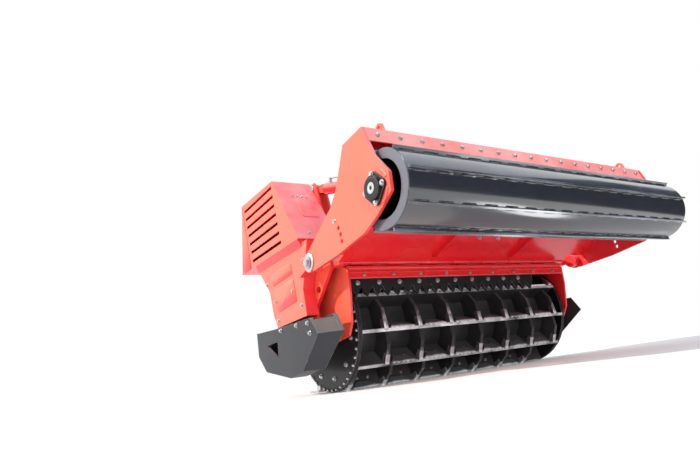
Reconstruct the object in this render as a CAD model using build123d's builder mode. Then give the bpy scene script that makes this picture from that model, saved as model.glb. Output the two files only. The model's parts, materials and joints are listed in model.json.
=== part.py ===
from build123d import *
import os
from math import atan2, cos, degrees, hypot, pi, radians, sin

os.makedirs("parts", exist_ok=True)

# ---------------------------------------------------------------- overall
# Sizes are in mm. Profiles are drawn as (forward, up) from the rotor's axis.
ROTOR_ROWS = 11              # tool rows round the rotor
TIP_R = 450.0                # radius of the tool tips
DISC_R = 430.0               # radius of the rotor's end discs
DRUM_R = 292.0               # rotor drum
DRUM_WALL = 25.0
FRONT_REACH = 900.0          # rotor axis to the tip of the lower hitch plates
ROLLER_BACK = 1261.0         # rotor axis to roller axis, rearward
ROLLER_UP = 564.0            # rotor axis to roller axis, upward
ROLLER_R = 215.0             # roller shell
ROLLER_RIB = 21.0            # height of a roller rib
REAR_REACH = ROLLER_BACK + ROLLER_R + ROLLER_RIB
AXIS_Y = (REAR_REACH - FRONT_REACH) / 2
AXIS_Z = TIP_R * cos(pi / ROTOR_ROWS)   # two tool rows stand on the floor
FLOOR = -AXIS_Z              # floor level seen from the rotor axis

# ---------------------------------------------------------------- widths, from the middle outwards
ROTOR_HALF = 1040.0          # outer face of a rotor end disc
DISC_THICK = 30.0
DISC_GAP = 35.0              # end disc to inner plate
INNER_THICK = 15.0           # inner plate, close to the rotor
SIDE_GAP = 65.0              # inner plate to side plate
PLATE_THICK = 25.0           # side plate
CASE_WIDE = 90.0             # gear casing
COVER_BACK = 200.0           # louvred cover, inwards from the side plate
COVER_PROUD = 30.0           # louvred cover and skid, outwards past the gear casing
PIVOT_WIDE = 45.0            # hood pivot bracket on the gear casing
ARM_GAP = 10.0               # pivot bracket to hood arm
ARM_THICK = 20.0             # hood arm
BEARING_WIDE = 35.0          # flange bearing of the roller
BEARING_R = 55.0
FLANGE_WIDE = 150.0          # its flange, bolted on standing on one corner
FLANGE_CORNER = 35.0
FLANGE_THICK = 16.0
ROLLER_GAP = 25.0            # roller shell to hood arm
INNER_IN = ROTOR_HALF + DISC_GAP
INNER_OUT = INNER_IN + INNER_THICK
PLATE_IN = INNER_OUT + SIDE_GAP
PLATE_OUT = PLATE_IN + PLATE_THICK
CASE_OUT = PLATE_OUT + CASE_WIDE
COVER_IN = PLATE_OUT - COVER_BACK
COVER_OUT = CASE_OUT + COVER_PROUD
PIVOT_OUT = CASE_OUT + PIVOT_WIDE
ARM_IN = PIVOT_OUT + ARM_GAP
ARM_OUT = ARM_IN + ARM_THICK
BEARING_OUT = ARM_OUT + BEARING_WIDE
ROLLER_HALF = ARM_IN - ROLLER_GAP

# ---------------------------------------------------------------- fits
RUN = 0.05                   # running clearance of shafts and pins, on the radius
GAP = 8.0                    # working gap beside moving plates

# ---------------------------------------------------------------- joints
HOOD_AXIS = (-450.0, 380.0)  # hinge of hood and arms
HOOD_PIN_R = 30.0
HINGE_TUBE_R = 18.0
BASE_EYE = (60.0, 1095.0)    # lift cylinder, housing end
ROD_EYE = (-900.0, 790.0)    # lift cylinder, hood end
CYL_X = 928.0                # lift cylinder from the middle
CYL_R = 45.0
EYE_PIN_R = 20.0
STAND_AXIS = (665.0, 130.0)  # parking stand hinge
STAND_X = 780.0
STAND_PIN_R = 12.0

axis_plane = Plane(origin=(0, AXIS_Y, AXIS_Z), x_dir=(0, 1, 0), z_dir=(1, 0, 0))
SIDES = (("left", -1), ("right", 1))


def finish(part, label):
    part.label = label
    export_step(part, f"parts/{label}.step")


# ---------------------------------------------------------------- side plates, outer and inner
SHELL_TOP = 500.0
SHELL_FRONT = 458.0
SHELL_LINE = [
    (-424, 352), (-330, 440), (-150, SHELL_TOP), (150, SHELL_TOP), (360, 430), (SHELL_FRONT, 380),
    (SHELL_FRONT, 200), (495, 60),
]
SHELL_THICK = 16.0
PLATE_OUTLINE = [
    (-424, 420), (-424, 352), (-398, 336), (-158, 133), (-158, 40), (-300, 30), (-290, -70),
    (-250, -110), (280, -110), (430, -20), (560, 200), (610, 480), (580, 575), (-150, 575),
]
INNER_LOWER = [
    (430, -20), (280, -110), (-250, -110), (-390, -90), (-440, -13), (-472, 180), (-478, 322), (-440, 348),
]
STUB_R = 60.0
PEEP_AT = (-226.0, 245.0)    # long hole in the side plate behind the gear casing
PEEP_LONG = 62.0
PEEP_WIDE = 42.0
for side, s in SIDES:
    with BuildPart() as side_plate:
        with BuildSketch(axis_plane.offset(s * PLATE_IN)):
            with BuildLine():
                Polyline(*PLATE_OUTLINE, close=True)
            make_face()
            Circle(STUB_R + RUN, mode=Mode.SUBTRACT)
            with Locations(PEEP_AT):
                SlotOverall(PEEP_LONG, PEEP_WIDE, mode=Mode.SUBTRACT)
        extrude(amount=s * PLATE_THICK)
        with BuildSketch(axis_plane.offset(s * INNER_IN)):
            with BuildLine():
                Polyline(*SHELL_LINE, *INNER_LOWER, close=True)
            make_face()
            Circle(STUB_R + RUN, mode=Mode.SUBTRACT)
        extrude(amount=s * INNER_THICK)
    finish(side_plate.part, f"side_plate_{side}")

# ---------------------------------------------------------------- housing shell over the rotor
with BuildPart() as rotor_housing:
    with BuildSketch(axis_plane.offset(-PLATE_IN)):
        with BuildLine():
            shell_line = Polyline(*SHELL_LINE)
            offset(amount=SHELL_THICK, side=Side.LEFT, closed=True)
        make_face()
    extrude(amount=2 * PLATE_IN)
finish(rotor_housing.part, "rotor_housing")

# ---------------------------------------------------------------- rear hinge beam
BEAM_BACK = -470.0
BEAM_FRONT = -424.0
BEAM_LOW = 265.0
BEAM_TOP = 351.0
RIB_R = 12.0
BEAM_WALL = 10.0
with BuildPart() as rear_beam:
    with BuildSketch(axis_plane.offset(-INNER_IN)):
        with BuildLine():
            Polyline((BEAM_FRONT, BEAM_LOW), (BEAM_FRONT, BEAM_TOP), (BEAM_BACK, BEAM_TOP),
                     (BEAM_BACK, BEAM_LOW), close=True)
        make_face()
        offset(amount=-BEAM_WALL, mode=Mode.SUBTRACT)
        with Locations((BEAM_BACK, 336)):
            Circle(RIB_R)
    extrude(amount=2 * INNER_IN)
finish(rear_beam.part, "rear_beam")

# ---------------------------------------------------------------- counter comb under the beam
COMB_PITCH = 84.0
COMB_TEETH = 21              # from the left inner plate, short of the right one
COMB_TOP = BEAM_LOW
COMB_ROOT = 215.0
COMB_TIP = 150.0
COMB_FACE = -466.0
COMB_THICK = 20.0
comb_start = -INNER_IN
comb_points = [(comb_start, COMB_TOP), (comb_start, COMB_ROOT)]
for i in range(COMB_TEETH):
    comb_points.append((comb_start + (i + 0.2) * COMB_PITCH, COMB_TIP + 22))
    comb_points.append((comb_start + (i + 0.5) * COMB_PITCH, COMB_TIP))
    comb_points.append((comb_start + (i + 1) * COMB_PITCH, COMB_ROOT))
comb_points.append((comb_start + COMB_TEETH * COMB_PITCH, COMB_TOP))
comb_plane = Plane(
    origin=(0, AXIS_Y + COMB_FACE, AXIS_Z), x_dir=(1, 0, 0), z_dir=(0, -1, 0),
)
with BuildPart() as counter_comb:
    with BuildSketch(comb_plane):
        with BuildLine():
            Polyline(*comb_points, close=True)
        make_face()
    extrude(amount=-COMB_THICK)
finish(counter_comb.part, "counter_comb")

# ---------------------------------------------------------------- front beam
FRONT = 620.0                # front face of the beam, where the hitch is welded on
FRONT_BEAM = (SHELL_FRONT + SHELL_THICK, FRONT, 215.0, 380.0)   # rear, front, bottom, top
FRONT_WALL = 25.0
BOX_HALF = 230.0             # gearbox and its seat, from the middle
BOX = (130.0, 580.0, 520.0, 885.0)   # gearbox: rear, front, bottom, top
SEAT_LONG = 100.0
with BuildPart() as front_beam:
    y0, y1, z0, z1 = FRONT_BEAM
    with BuildSketch(axis_plane.offset(-PLATE_IN)):
        with Locations(((y0 + y1) / 2, (z0 + z1) / 2)):
            Rectangle(y1 - y0, z1 - z0)
            Rectangle(y1 - y0 - 2 * FRONT_WALL, z1 - z0 - 2 * FRONT_WALL, mode=Mode.SUBTRACT)
    extrude(amount=2 * PLATE_IN)
    with BuildSketch(axis_plane.offset(-BOX_HALF)):
        with Locations((BOX[1] - SEAT_LONG / 2, (z1 + BOX[2]) / 2)):
            Rectangle(SEAT_LONG, BOX[2] - z1)
    extrude(amount=2 * BOX_HALF)
finish(front_beam.part, "front_beam")

# ---------------------------------------------------------------- gear casings
CASE_TOP = 575.0
CASE_OUTLINE = [
    (-310, CASE_TOP), (-175, 266), (-190, 84), (298, 70), (312, 190), (350, 300), (405, 380),
    (459, 440), (543, 536), (560, CASE_TOP),
]
for side, s in SIDES:
    with BuildPart() as gear_casing:
        with BuildSketch(axis_plane.offset(s * PLATE_OUT)):
            with BuildLine():
                Polyline(*CASE_OUTLINE, close=True)
            make_face()
        extrude(amount=s * (CASE_OUT - PLATE_OUT))
        with BuildSketch(axis_plane.offset(s * CASE_OUT)):
            with BuildLine():
                Polyline((-235, 330), (-330, 360), (-400, 425), (-440, 436), (-200, 436), close=True)
            make_face()
            with Locations(HOOD_AXIS):
                Circle(56)
            with Locations((-330, 398)):
                Rectangle(230, 76)
            with Locations(HOOD_AXIS):
                Circle(HOOD_PIN_R + RUN, mode=Mode.SUBTRACT)
        extrude(amount=s * (PIVOT_OUT - CASE_OUT))
    finish(gear_casing.part, f"gear_casing_{side}")

# ---------------------------------------------------------------- louvred covers
COVER_LOW = 600.0
COVER_OUTLINE = [(-245, COVER_LOW), (91, 1150), (745, 1175), (858, COVER_LOW)]
COVER_WALL = 8.0
CHIN = (-225.0, 560.0)       # sloping foot of the cover: rear, front
CHIN_LOW = 545.0
SLOTS = 7
SLOT_LOW = (318.0, 654.0, 575.0)     # lowest slot: middle forward, middle up, length
SLOT_HIGH = (404.0, 1104.0, 590.0)   # highest slot
SLOT_WIDE = 30.0
for side, s in SIDES:
    with BuildPart() as side_cover:
        with BuildSketch(axis_plane.offset(s * COVER_IN)):
            with BuildLine():
                Polyline(*COVER_OUTLINE, close=True)
            make_face()
        extrude(amount=s * (COVER_OUT - COVER_IN))
        with BuildSketch(axis_plane.offset(s * (COVER_IN + COVER_WALL))):
            with BuildLine():
                Polyline(*COVER_OUTLINE, close=True)
            make_face()
            offset(amount=-COVER_WALL, mode=Mode.REPLACE)
        extrude(amount=s * (COVER_OUT - COVER_IN - 2 * COVER_WALL), mode=Mode.SUBTRACT)
        with BuildSketch(axis_plane.offset(s * COVER_OUT)):
            for i in range(SLOTS):
                middle, up, long = [
                    low + (high - low) * i / (SLOTS - 1) for low, high in zip(SLOT_LOW, SLOT_HIGH)
                ]
                with Locations((middle, up)):
                    Rectangle(long, SLOT_WIDE)
        extrude(amount=-s * COVER_WALL, mode=Mode.SUBTRACT)
        with BuildSketch(axis_plane.offset(s * COVER_IN)):
            with BuildLine():
                Polyline((CHIN[0], COVER_LOW), (CHIN[0], CASE_TOP), (CHIN[1], CASE_TOP), (CHIN[1], COVER_LOW),
                         close=True)
            make_face()
        extrude(amount=s * (CASE_OUT - COVER_IN))
        with BuildSketch(Plane(origin=(0, AXIS_Y + CHIN[0], AXIS_Z), x_dir=(1, 0, 0), z_dir=(0, -1, 0))):
            with BuildLine():
                Polyline((s * CASE_OUT, COVER_LOW), (s * COVER_OUT, COVER_LOW), (s * CASE_OUT, CHIN_LOW),
                         close=True)
            make_face()
        extrude(amount=CHIN[0] - CHIN[1])
    finish(side_cover.part, f"side_cover_{side}")

# ---------------------------------------------------------------- gearbox, input shaft, drive tubes
DRIVE_AXIS = (390.0, 785.0)
TUBE_R = 68.0
TUBE_WALL = 12.0
CLUTCH_R = 165.0             # friction clutch inside each louvred cover
CLUTCH_WIDE = 165.0
INPUT_R = 22.2
INPUT_BOSS = 20.0
INPUT_UP = 610.0
INPUT_LONG = 95.0
with BuildPart() as gearbox:
    with BuildSketch(axis_plane.offset(-BOX_HALF)):
        with Locations(((BOX[0] + BOX[1]) / 2, (BOX[2] + BOX[3]) / 2)):
            Rectangle(BOX[1] - BOX[0], BOX[3] - BOX[2])
    extrude(amount=2 * BOX_HALF)
    chamfer(gearbox.edges().filter_by(Axis.X), 40)
    with BuildSketch(Plane(origin=(0, AXIS_Y + BOX[1], AXIS_Z + INPUT_UP), z_dir=(0, 1, 0))):
        Circle(85)
    extrude(amount=INPUT_BOSS)
finish(gearbox.part, "gearbox")

with BuildPart() as input_shaft:
    with BuildSketch(Plane(origin=(0, AXIS_Y + BOX[1] + INPUT_BOSS, AXIS_Z + INPUT_UP), z_dir=(0, 1, 0))):
        Circle(INPUT_R)
    extrude(amount=INPUT_LONG)
finish(input_shaft.part, "input_shaft")

for side, s in SIDES:
    with BuildPart() as drive_tube:
        with BuildSketch(axis_plane.offset(s * BOX_HALF)):
            with Locations(DRIVE_AXIS):
                Circle(TUBE_R)
                Circle(TUBE_R - TUBE_WALL, mode=Mode.SUBTRACT)
        extrude(amount=s * (COVER_IN - BOX_HALF))
    finish(drive_tube.part, f"drive_tube_{side}")

    with BuildPart() as drive_clutch:
        with BuildSketch(axis_plane.offset(s * (COVER_IN + COVER_WALL))):
            with Locations(DRIVE_AXIS):
                Circle(CLUTCH_R)
        extrude(amount=s * CLUTCH_WIDE)
    finish(drive_clutch.part, f"drive_clutch_{side}")

# ---------------------------------------------------------------- hitch
LOW_PIN = (850.0, 60.0)
LOW_PIN_R = 18.5
LOW_X = 505.0                # middle of a lower clevis from the middle
LOW_GAP = 60.0
LUG_THICK = 40.0
TOP_PIN = (855.0, 745.0)     # far enough forward to clear the louvred covers
TOP_PIN_R = 16.0
TOP_EYE_R = 42.0             # from the pin to the front edge of its lugs
TOP_GAP = 52.0
for side, s in SIDES:
    with BuildPart() as hitch_clevis:
        for inner in (LOW_X - LOW_GAP / 2 - LUG_THICK, LOW_X + LOW_GAP / 2):
            with BuildSketch(axis_plane.offset(s * inner)):
                with BuildLine():
                    Polyline((FRONT, 200), (FRONT, 380), (FRONT + 60, 380), (880, 130), (900, 60), (870, 10),
                             (820, 5), close=True)
                make_face()
                with Locations(LOW_PIN):
                    Circle(LOW_PIN_R, mode=Mode.SUBTRACT)
            extrude(amount=s * LUG_THICK)
        with BuildSketch(axis_plane.offset(s * (LOW_X - LOW_GAP / 2))):
            with Locations((FRONT + 15, 290)):
                Rectangle(30, 180)
        extrude(amount=s * LOW_GAP)
    finish(hitch_clevis.part, f"hitch_clevis_{side}")

MAST_X = 200.0
MAST_REAR = 680.0            # upright part of a mast leg: rear, front, top
MAST_FRONT = 765.0
MAST_TOP = 790.0
MAST_BEND = 700.0
MAST_BAR = 60.0              # bar across between the legs
with BuildPart() as mast:
    for s in (-1, 1):
        with BuildSketch(axis_plane.offset(s * MAST_X)):
            with BuildLine():
                Polyline((FRONT, 210), (FRONT, 380), (MAST_REAR, MAST_BEND), (MAST_REAR, MAST_TOP),
                         (MAST_FRONT, MAST_TOP), (MAST_FRONT, MAST_BEND), (FRONT + 90, 330),
                         (FRONT + 90, 210), close=True)
            make_face()
        extrude(amount=s * LUG_THICK)
        with BuildSketch(axis_plane.offset(s * TOP_GAP / 2)):
            with BuildLine():
                Polyline((MAST_REAR, MAST_BEND), (MAST_REAR, MAST_TOP), (TOP_PIN[0] + TOP_EYE_R / 3, MAST_TOP),
                         (TOP_PIN[0] + TOP_EYE_R, TOP_PIN[1] + TOP_EYE_R / 2),
                         (TOP_PIN[0] + TOP_EYE_R, TOP_PIN[1] - TOP_EYE_R / 2),
                         (TOP_PIN[0] + TOP_EYE_R / 3, MAST_BEND), close=True)
            make_face()
            with Locations(TOP_PIN):
                Circle(TOP_PIN_R, mode=Mode.SUBTRACT)
        extrude(amount=s * LUG_THICK)
    with BuildSketch(axis_plane.offset(-MAST_X)):
        with Locations((MAST_REAR + MAST_BAR / 2, (MAST_BEND + MAST_TOP) / 2)):
            Rectangle(MAST_BAR, MAST_TOP - MAST_BEND)
    extrude(amount=2 * MAST_X)
finish(mast.part, "mast")

# ---------------------------------------------------------------- skids at the lower corners
SKID_OUTER = [
    (-272, 57), (-371, -53), (-109, -265), (95, -298), (515, -228), (645, -104), (648, 75), (298, 62),
]
SKID_INNER = [
    (-430, 57), (-500, -60), (-190, -268), (95, -298), (515, -228), (645, -104), (648, 75), (298, 62),
]
SKID_WALL = 16.0
SKID_IN = PLATE_OUT
WINDOW = [(262, -30), (460, -42), (272, -150)]
for side, s in SIDES:
    with BuildPart() as skid:
        for x, outline in ((SKID_IN, SKID_INNER), (COVER_OUT, SKID_OUTER)):
            with BuildSketch(axis_plane.offset(s * x)):
                with BuildLine():
                    Polyline(*outline, close=True)
                make_face()
        loft(ruled=True)
        for x, outline in ((SKID_IN + SKID_WALL, SKID_INNER), (COVER_OUT - SKID_WALL, SKID_OUTER)):
            with BuildSketch(axis_plane.offset(s * x)):
                with BuildLine():
                    Polyline(*outline, close=True)
                make_face()
                offset(amount=-SKID_WALL, mode=Mode.REPLACE)
        loft(ruled=True, mode=Mode.SUBTRACT)
        with BuildSketch(axis_plane.offset(s * COVER_OUT)):
            with BuildLine():
                Polyline(*WINDOW, close=True)
            make_face()
        extrude(amount=-s * SKID_WALL, mode=Mode.SUBTRACT)
        with BuildSketch(axis_plane.offset(s * (SKID_IN + SKID_WALL))):
            with BuildLine():
                Polyline((-415, 80), (-415, 40), (635, 40), (635, 80), close=True)
            make_face()
        extrude(amount=s * (COVER_OUT - SKID_IN - 2 * SKID_WALL), mode=Mode.SUBTRACT)
    finish(skid.part, f"skid_{side}")

# ---------------------------------------------------------------- parking stands
STAND_OFF = GAP
for side, s in SIDES:
    with BuildPart() as stand_bracket:
        for x in (STAND_X - 30 - GAP - 15, STAND_X + 30 + GAP):
            with BuildSketch(axis_plane.offset(s * x)):
                with BuildLine():
                    Polyline((FRONT, 215), (FRONT, 330), (660, 330), (705, 150), (700, 95), (640, 90), close=True)
                make_face()
                with Locations(STAND_AXIS):
                    Circle(STAND_PIN_R + RUN, mode=Mode.SUBTRACT)
            extrude(amount=s * 15)
    finish(stand_bracket.part, f"stand_bracket_{side}")

    with BuildPart() as stand:
        with BuildSketch(axis_plane.offset(s * (STAND_X - 30))):
            with BuildLine():
                Polyline((STAND_AXIS[0] - 28, STAND_AXIS[1] + 30), (STAND_AXIS[0] + 28, STAND_AXIS[1] + 30),
                         (STAND_AXIS[0] + 20, FLOOR + 15), (STAND_AXIS[0] - 40, FLOOR + 15), close=True)
            make_face()
        extrude(amount=s * 60)
        with BuildSketch(axis_plane.offset(s * (STAND_X - 75))):
            with Locations((STAND_AXIS[0] - 20, FLOOR + 7.5)):
                Rectangle(150, 15)
        extrude(amount=s * 150)
        with BuildSketch(axis_plane.offset(s * (STAND_X - 30 - GAP - 15))):
            with Locations(STAND_AXIS):
                Circle(STAND_PIN_R)
        extrude(amount=s * (60 + 2 * GAP + 30))
    finish(stand.part, f"stand_{side}")

# ---------------------------------------------------------------- lift cylinders
CYL_RISE = atan2(ROD_EYE[1] - BASE_EYE[1], ROD_EYE[0] - BASE_EYE[0])
CYL_LONG = hypot(ROD_EYE[1] - BASE_EYE[1], ROD_EYE[0] - BASE_EYE[0])
EYE_WIDE = 50.0
EYE_R = 38.0
ROD_R = 23.0
TUBE_START = 160.0           # narrow neck between the eye and the full tube
NECK_DEEP = 60.0
EYE_JOIN = EYE_PIN_R + 2     # neck and rod start here, just outside the pin
GLAND_LONG = 60.0
BARREL_END = 900.0
BORE_FROM = TUBE_START + 15
ROD_FROM = TUBE_START + 30
POST_FOOT = SHELL_TOP + SHELL_THICK
CHEEK = 15.0
CHEEK_GAP = 6.0
for side, s in SIDES:
    with BuildPart() as cylinder_post:
        for x in (CYL_X - EYE_WIDE / 2 - CHEEK_GAP - CHEEK, CYL_X + EYE_WIDE / 2 + CHEEK_GAP):
            with BuildSketch(axis_plane.offset(s * x)):
                with BuildLine():
                    Polyline((-130, POST_FOOT), (140, POST_FOOT), (115, 1100), (95, 1135), (25, 1135), (5, 1100),
                             close=True)
                make_face()
                with Locations(BASE_EYE):
                    Circle(EYE_PIN_R, mode=Mode.SUBTRACT)
            extrude(amount=s * CHEEK)
        with BuildSketch(axis_plane.offset(s * (CYL_X - EYE_WIDE / 2 - CHEEK_GAP - CHEEK))):
            with Locations(BASE_EYE):
                Circle(EYE_PIN_R)
        extrude(amount=s * (EYE_WIDE + 2 * CHEEK_GAP + 2 * CHEEK))
    finish(cylinder_post.part, f"cylinder_post_{side}")

    along = (0, cos(CYL_RISE), sin(CYL_RISE))
    base = (s * CYL_X, AXIS_Y + BASE_EYE[0], AXIS_Z + BASE_EYE[1])
    run = Plane(origin=base, x_dir=(1, 0, 0), z_dir=along)
    with BuildPart() as cylinder_barrel:
        with BuildSketch(axis_plane.offset(s * (CYL_X - EYE_WIDE / 2))):
            with Locations(BASE_EYE):
                Circle(EYE_R)
        extrude(amount=s * EYE_WIDE)
        with BuildSketch(run.offset(EYE_JOIN)):
            Rectangle(EYE_WIDE, NECK_DEEP)
        extrude(amount=TUBE_START - EYE_JOIN)
        with BuildSketch(run.offset(TUBE_START)):
            Circle(CYL_R)
        extrude(amount=BARREL_END - TUBE_START)
        with BuildSketch(run.offset(BARREL_END - GLAND_LONG)):
            Circle(CYL_R + 5)
        extrude(amount=GLAND_LONG)
        with BuildSketch(axis_plane.offset(s * (CYL_X - EYE_WIDE / 2))):
            with Locations(BASE_EYE):
                Circle(EYE_PIN_R + RUN)
        extrude(amount=s * EYE_WIDE, mode=Mode.SUBTRACT)
        with BuildSketch(run.offset(BORE_FROM)):
            Circle(ROD_R + RUN)
        extrude(amount=BARREL_END - BORE_FROM, mode=Mode.SUBTRACT)
    finish(cylinder_barrel.part, f"cylinder_barrel_{side}")

    with BuildPart() as cylinder_rod:
        with BuildSketch(run.offset(ROD_FROM)):
            Circle(ROD_R)
        extrude(amount=CYL_LONG - ROD_FROM - EYE_JOIN)
        with BuildSketch(axis_plane.offset(s * (CYL_X - EYE_WIDE / 2))):
            with Locations(ROD_EYE):
                Circle(EYE_R)
        extrude(amount=s * EYE_WIDE)
        with BuildSketch(axis_plane.offset(s * (CYL_X - EYE_WIDE / 2))):
            with Locations(ROD_EYE):
                Circle(EYE_PIN_R + RUN)
        extrude(amount=s * EYE_WIDE, mode=Mode.SUBTRACT)
    finish(cylinder_rod.part, f"cylinder_rod_{side}")

# ---------------------------------------------------------------- hood
ROLLER_AXIS = (-ROLLER_BACK, ROLLER_UP)
HOOD_LINE = [(-466, 388), (-880, 560), (-1000, 800), (-1102, 928)]
HOOD_THICK = 6.0
HINGE_HALF = PLATE_IN - 15     # hinge tube over the rear beam
HOOD_RIB_THICK = 8.0
CORNER_BACK = -535.0
HOOD_RIBS = (-390.0, 390.0)
with BuildPart() as hood_panel:
    with BuildSketch(axis_plane.offset(-ARM_IN)):
        with BuildLine():
            Polyline(*HOOD_LINE)
            offset(amount=HOOD_THICK, side=Side.LEFT, closed=True)
        make_face()
    extrude(amount=2 * ARM_IN)
    for s in (-1, 1):
        with BuildSketch(axis_plane.offset(s * HINGE_HALF)):
            with Locations((CORNER_BACK + 50, 380)):
                Rectangle(100, 160)
        extrude(amount=s * (ARM_IN - HINGE_HALF), mode=Mode.SUBTRACT)
    with BuildSketch(axis_plane.offset(-HINGE_HALF)):
        with Locations(HOOD_AXIS):
            Circle(HINGE_TUBE_R)
    extrude(amount=2 * HINGE_HALF)
    for x in HOOD_RIBS:
        with BuildSketch(axis_plane.offset(x - HOOD_RIB_THICK / 2)):
            with BuildLine():
                Polyline((-485, 396), (-885, 560), (-985, 760), (-930, 600), (-880, 500), (-560, 385), close=True)
            make_face()
        extrude(amount=HOOD_RIB_THICK)
finish(hood_panel.part, "hood_panel")

# ---------------------------------------------------------------- hood arms
ARM_OUTLINE = [
    (-405, 428), (-785, 622), (-870, 700), (-935, 800), (-1010, 925), (-1215, 938), (-1250, 830),
    (-1285, 740), (-1385, 610), (-1380, 510), (-1240, 430), (-1095, 375), (-800, 335), (-490, 315),
]
SET_HOLES = [(-820, 528), (-848, 482), (-862, 440), (-868, 398)]
SET_HOLE_R = 14.0
SHAFT_R = 30.0
for side, s in SIDES:
    with BuildPart() as hood_arm:
        with BuildSketch(axis_plane.offset(s * ARM_IN)):
            with BuildLine():
                Polyline(*ARM_OUTLINE, close=True)
            make_face()
            with Locations(HOOD_AXIS):
                Circle(64)
            with Locations(ROLLER_AXIS):
                Circle(SHAFT_R + 15, mode=Mode.SUBTRACT)
            with Locations(*SET_HOLES):
                Circle(SET_HOLE_R, mode=Mode.SUBTRACT)
        extrude(amount=s * (ARM_OUT - ARM_IN))
        with BuildSketch(axis_plane.offset(s * (CASE_OUT + 2))):
            with Locations(HOOD_AXIS):
                Circle(HOOD_PIN_R)
        extrude(amount=s * (ARM_OUT + 12 - CASE_OUT - 2))
    finish(hood_arm.part, f"hood_arm_{side}")

    with BuildPart() as bearing:
        with BuildSketch(axis_plane.offset(s * ARM_OUT)):
            with Locations(ROLLER_AXIS):
                RectangleRounded(FLANGE_WIDE, FLANGE_WIDE, FLANGE_CORNER, rotation=45)
                Circle(SHAFT_R + RUN, mode=Mode.SUBTRACT)
        extrude(amount=s * FLANGE_THICK)
        with BuildSketch(axis_plane.offset(s * (ARM_OUT + FLANGE_THICK))):
            with Locations(ROLLER_AXIS):
                Circle(BEARING_R)
                Circle(SHAFT_R + RUN, mode=Mode.SUBTRACT)
        extrude(amount=s * (BEARING_OUT - ARM_OUT - FLANGE_THICK))
    finish(bearing.part, f"bearing_{side}")

    with BuildPart() as hood_lug:
        for x in (CYL_X - EYE_WIDE / 2 - CHEEK_GAP - CHEEK, CYL_X + EYE_WIDE / 2 + CHEEK_GAP):
            with BuildSketch(axis_plane.offset(s * x)):
                with BuildLine():
                    Polyline((-898, 596), (-988, 776), (-940, 840), (-870, 840), (-845, 785), close=True)
                make_face()
                with Locations(ROD_EYE):
                    Circle(EYE_PIN_R, mode=Mode.SUBTRACT)
            extrude(amount=s * CHEEK)
    finish(hood_lug.part, f"hood_lug_{side}")

# ---------------------------------------------------------------- crossbeam over the roller
BEAM_UP = 945.0
BEAM_THICK = 8.0
hood_slope = (HOOD_LINE[-1][0] - HOOD_LINE[-2][0]) / (HOOD_LINE[-1][1] - HOOD_LINE[-2][1])
beam_bend = HOOD_LINE[-1][0] + hood_slope * (BEAM_UP - HOOD_LINE[-1][1])
BEAM_LINE = [HOOD_LINE[-1], (beam_bend, BEAM_UP), (-1205, BEAM_UP), (-1238, 850)]
EYE_X = ARM_IN - 160
EYE_THICK = 18.0
with BuildPart() as crossbeam:
    with BuildSketch(axis_plane.offset(-ARM_IN)):
        with BuildLine():
            Polyline(*BEAM_LINE)
            offset(amount=BEAM_THICK, side=Side.LEFT, closed=True)
        make_face()
    extrude(amount=2 * ARM_IN)
    for s in (-1, 1):
        with BuildSketch(axis_plane.offset(s * EYE_X)):
            with BuildLine():
                Polyline((-1195, BEAM_UP), (-1118, BEAM_UP), (-1130, 1000), (-1155, 1012), (-1180, 1000),
                         close=True)
            make_face()
            with Locations((-1155, 980)):
                Circle(15, mode=Mode.SUBTRACT)
        extrude(amount=s * EYE_THICK)
finish(crossbeam.part, "crossbeam")

# ---------------------------------------------------------------- roller
ROLLER_RIBS = 8
RIB_PHASE = 36.6
ROLLER_WALL = 8.0
RIB_THICK = 12.0
CAP_THICK = 10.0
CAP_DEEP = 22.0              # cap sunk into the shell
roller_plane = Plane(
    origin=(0, AXIS_Y - ROLLER_BACK, AXIS_Z + ROLLER_UP), x_dir=(0, 1, 0), z_dir=(1, 0, 0),
)
with BuildPart() as roller_shell:
    with BuildSketch(roller_plane.offset(-ROLLER_HALF)):
        Circle(ROLLER_R)
        with PolarLocations(ROLLER_R + ROLLER_RIB / 2 - 3, ROLLER_RIBS, start_angle=RIB_PHASE):
            Rectangle(ROLLER_RIB + 6, RIB_THICK)
        Circle(ROLLER_R - ROLLER_WALL, mode=Mode.SUBTRACT)
    extrude(amount=2 * ROLLER_HALF)
finish(roller_shell.part, "roller_shell")

for side, s in SIDES:
    with BuildPart() as roller_cap:
        with BuildSketch(roller_plane.offset(s * (ROLLER_HALF - CAP_DEEP))):
            Circle(ROLLER_R - ROLLER_WALL - 0.3)
        extrude(amount=s * CAP_THICK)
        with BuildSketch(roller_plane.offset(s * (ROLLER_HALF - CAP_DEEP + CAP_THICK))):
            Circle(SHAFT_R)
        extrude(amount=s * (BEARING_OUT - 2 - ROLLER_HALF + CAP_DEEP - CAP_THICK))
    finish(roller_cap.part, f"roller_cap_{side}")

# ---------------------------------------------------------------- rotor
ROW_STEP = 360 / ROTOR_ROWS
ROW_BASE = 270 - ROW_STEP / 2
DRUM_HALF = ROTOR_HALF - DISC_THICK
STATIONS = 7                 # ring plates in a row
STATION_PITCH = 2 * DRUM_HALF / STATIONS
RING_THICK = 28.0
RING_ROOT = DRUM_R - 10
BAR_THICK = 22.0
BAR_OUT = 438.0
BLADE_TILT = radians(35)
BLADE_DEEP = 52.0
BLADE_THICK = 12.0
BLADE_HALF = 100.0
BLADE_TEETH = 5
BLADE_LIMIT = DRUM_HALF - BLADE_HALF - 30
ROW_SHIFTS = (0.05, 0.76, 0.64, 0.87, 0.36, 0.11, 0.71, 0.43, 0.94, 0.22, 0.53)   # of a station, row by row

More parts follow.
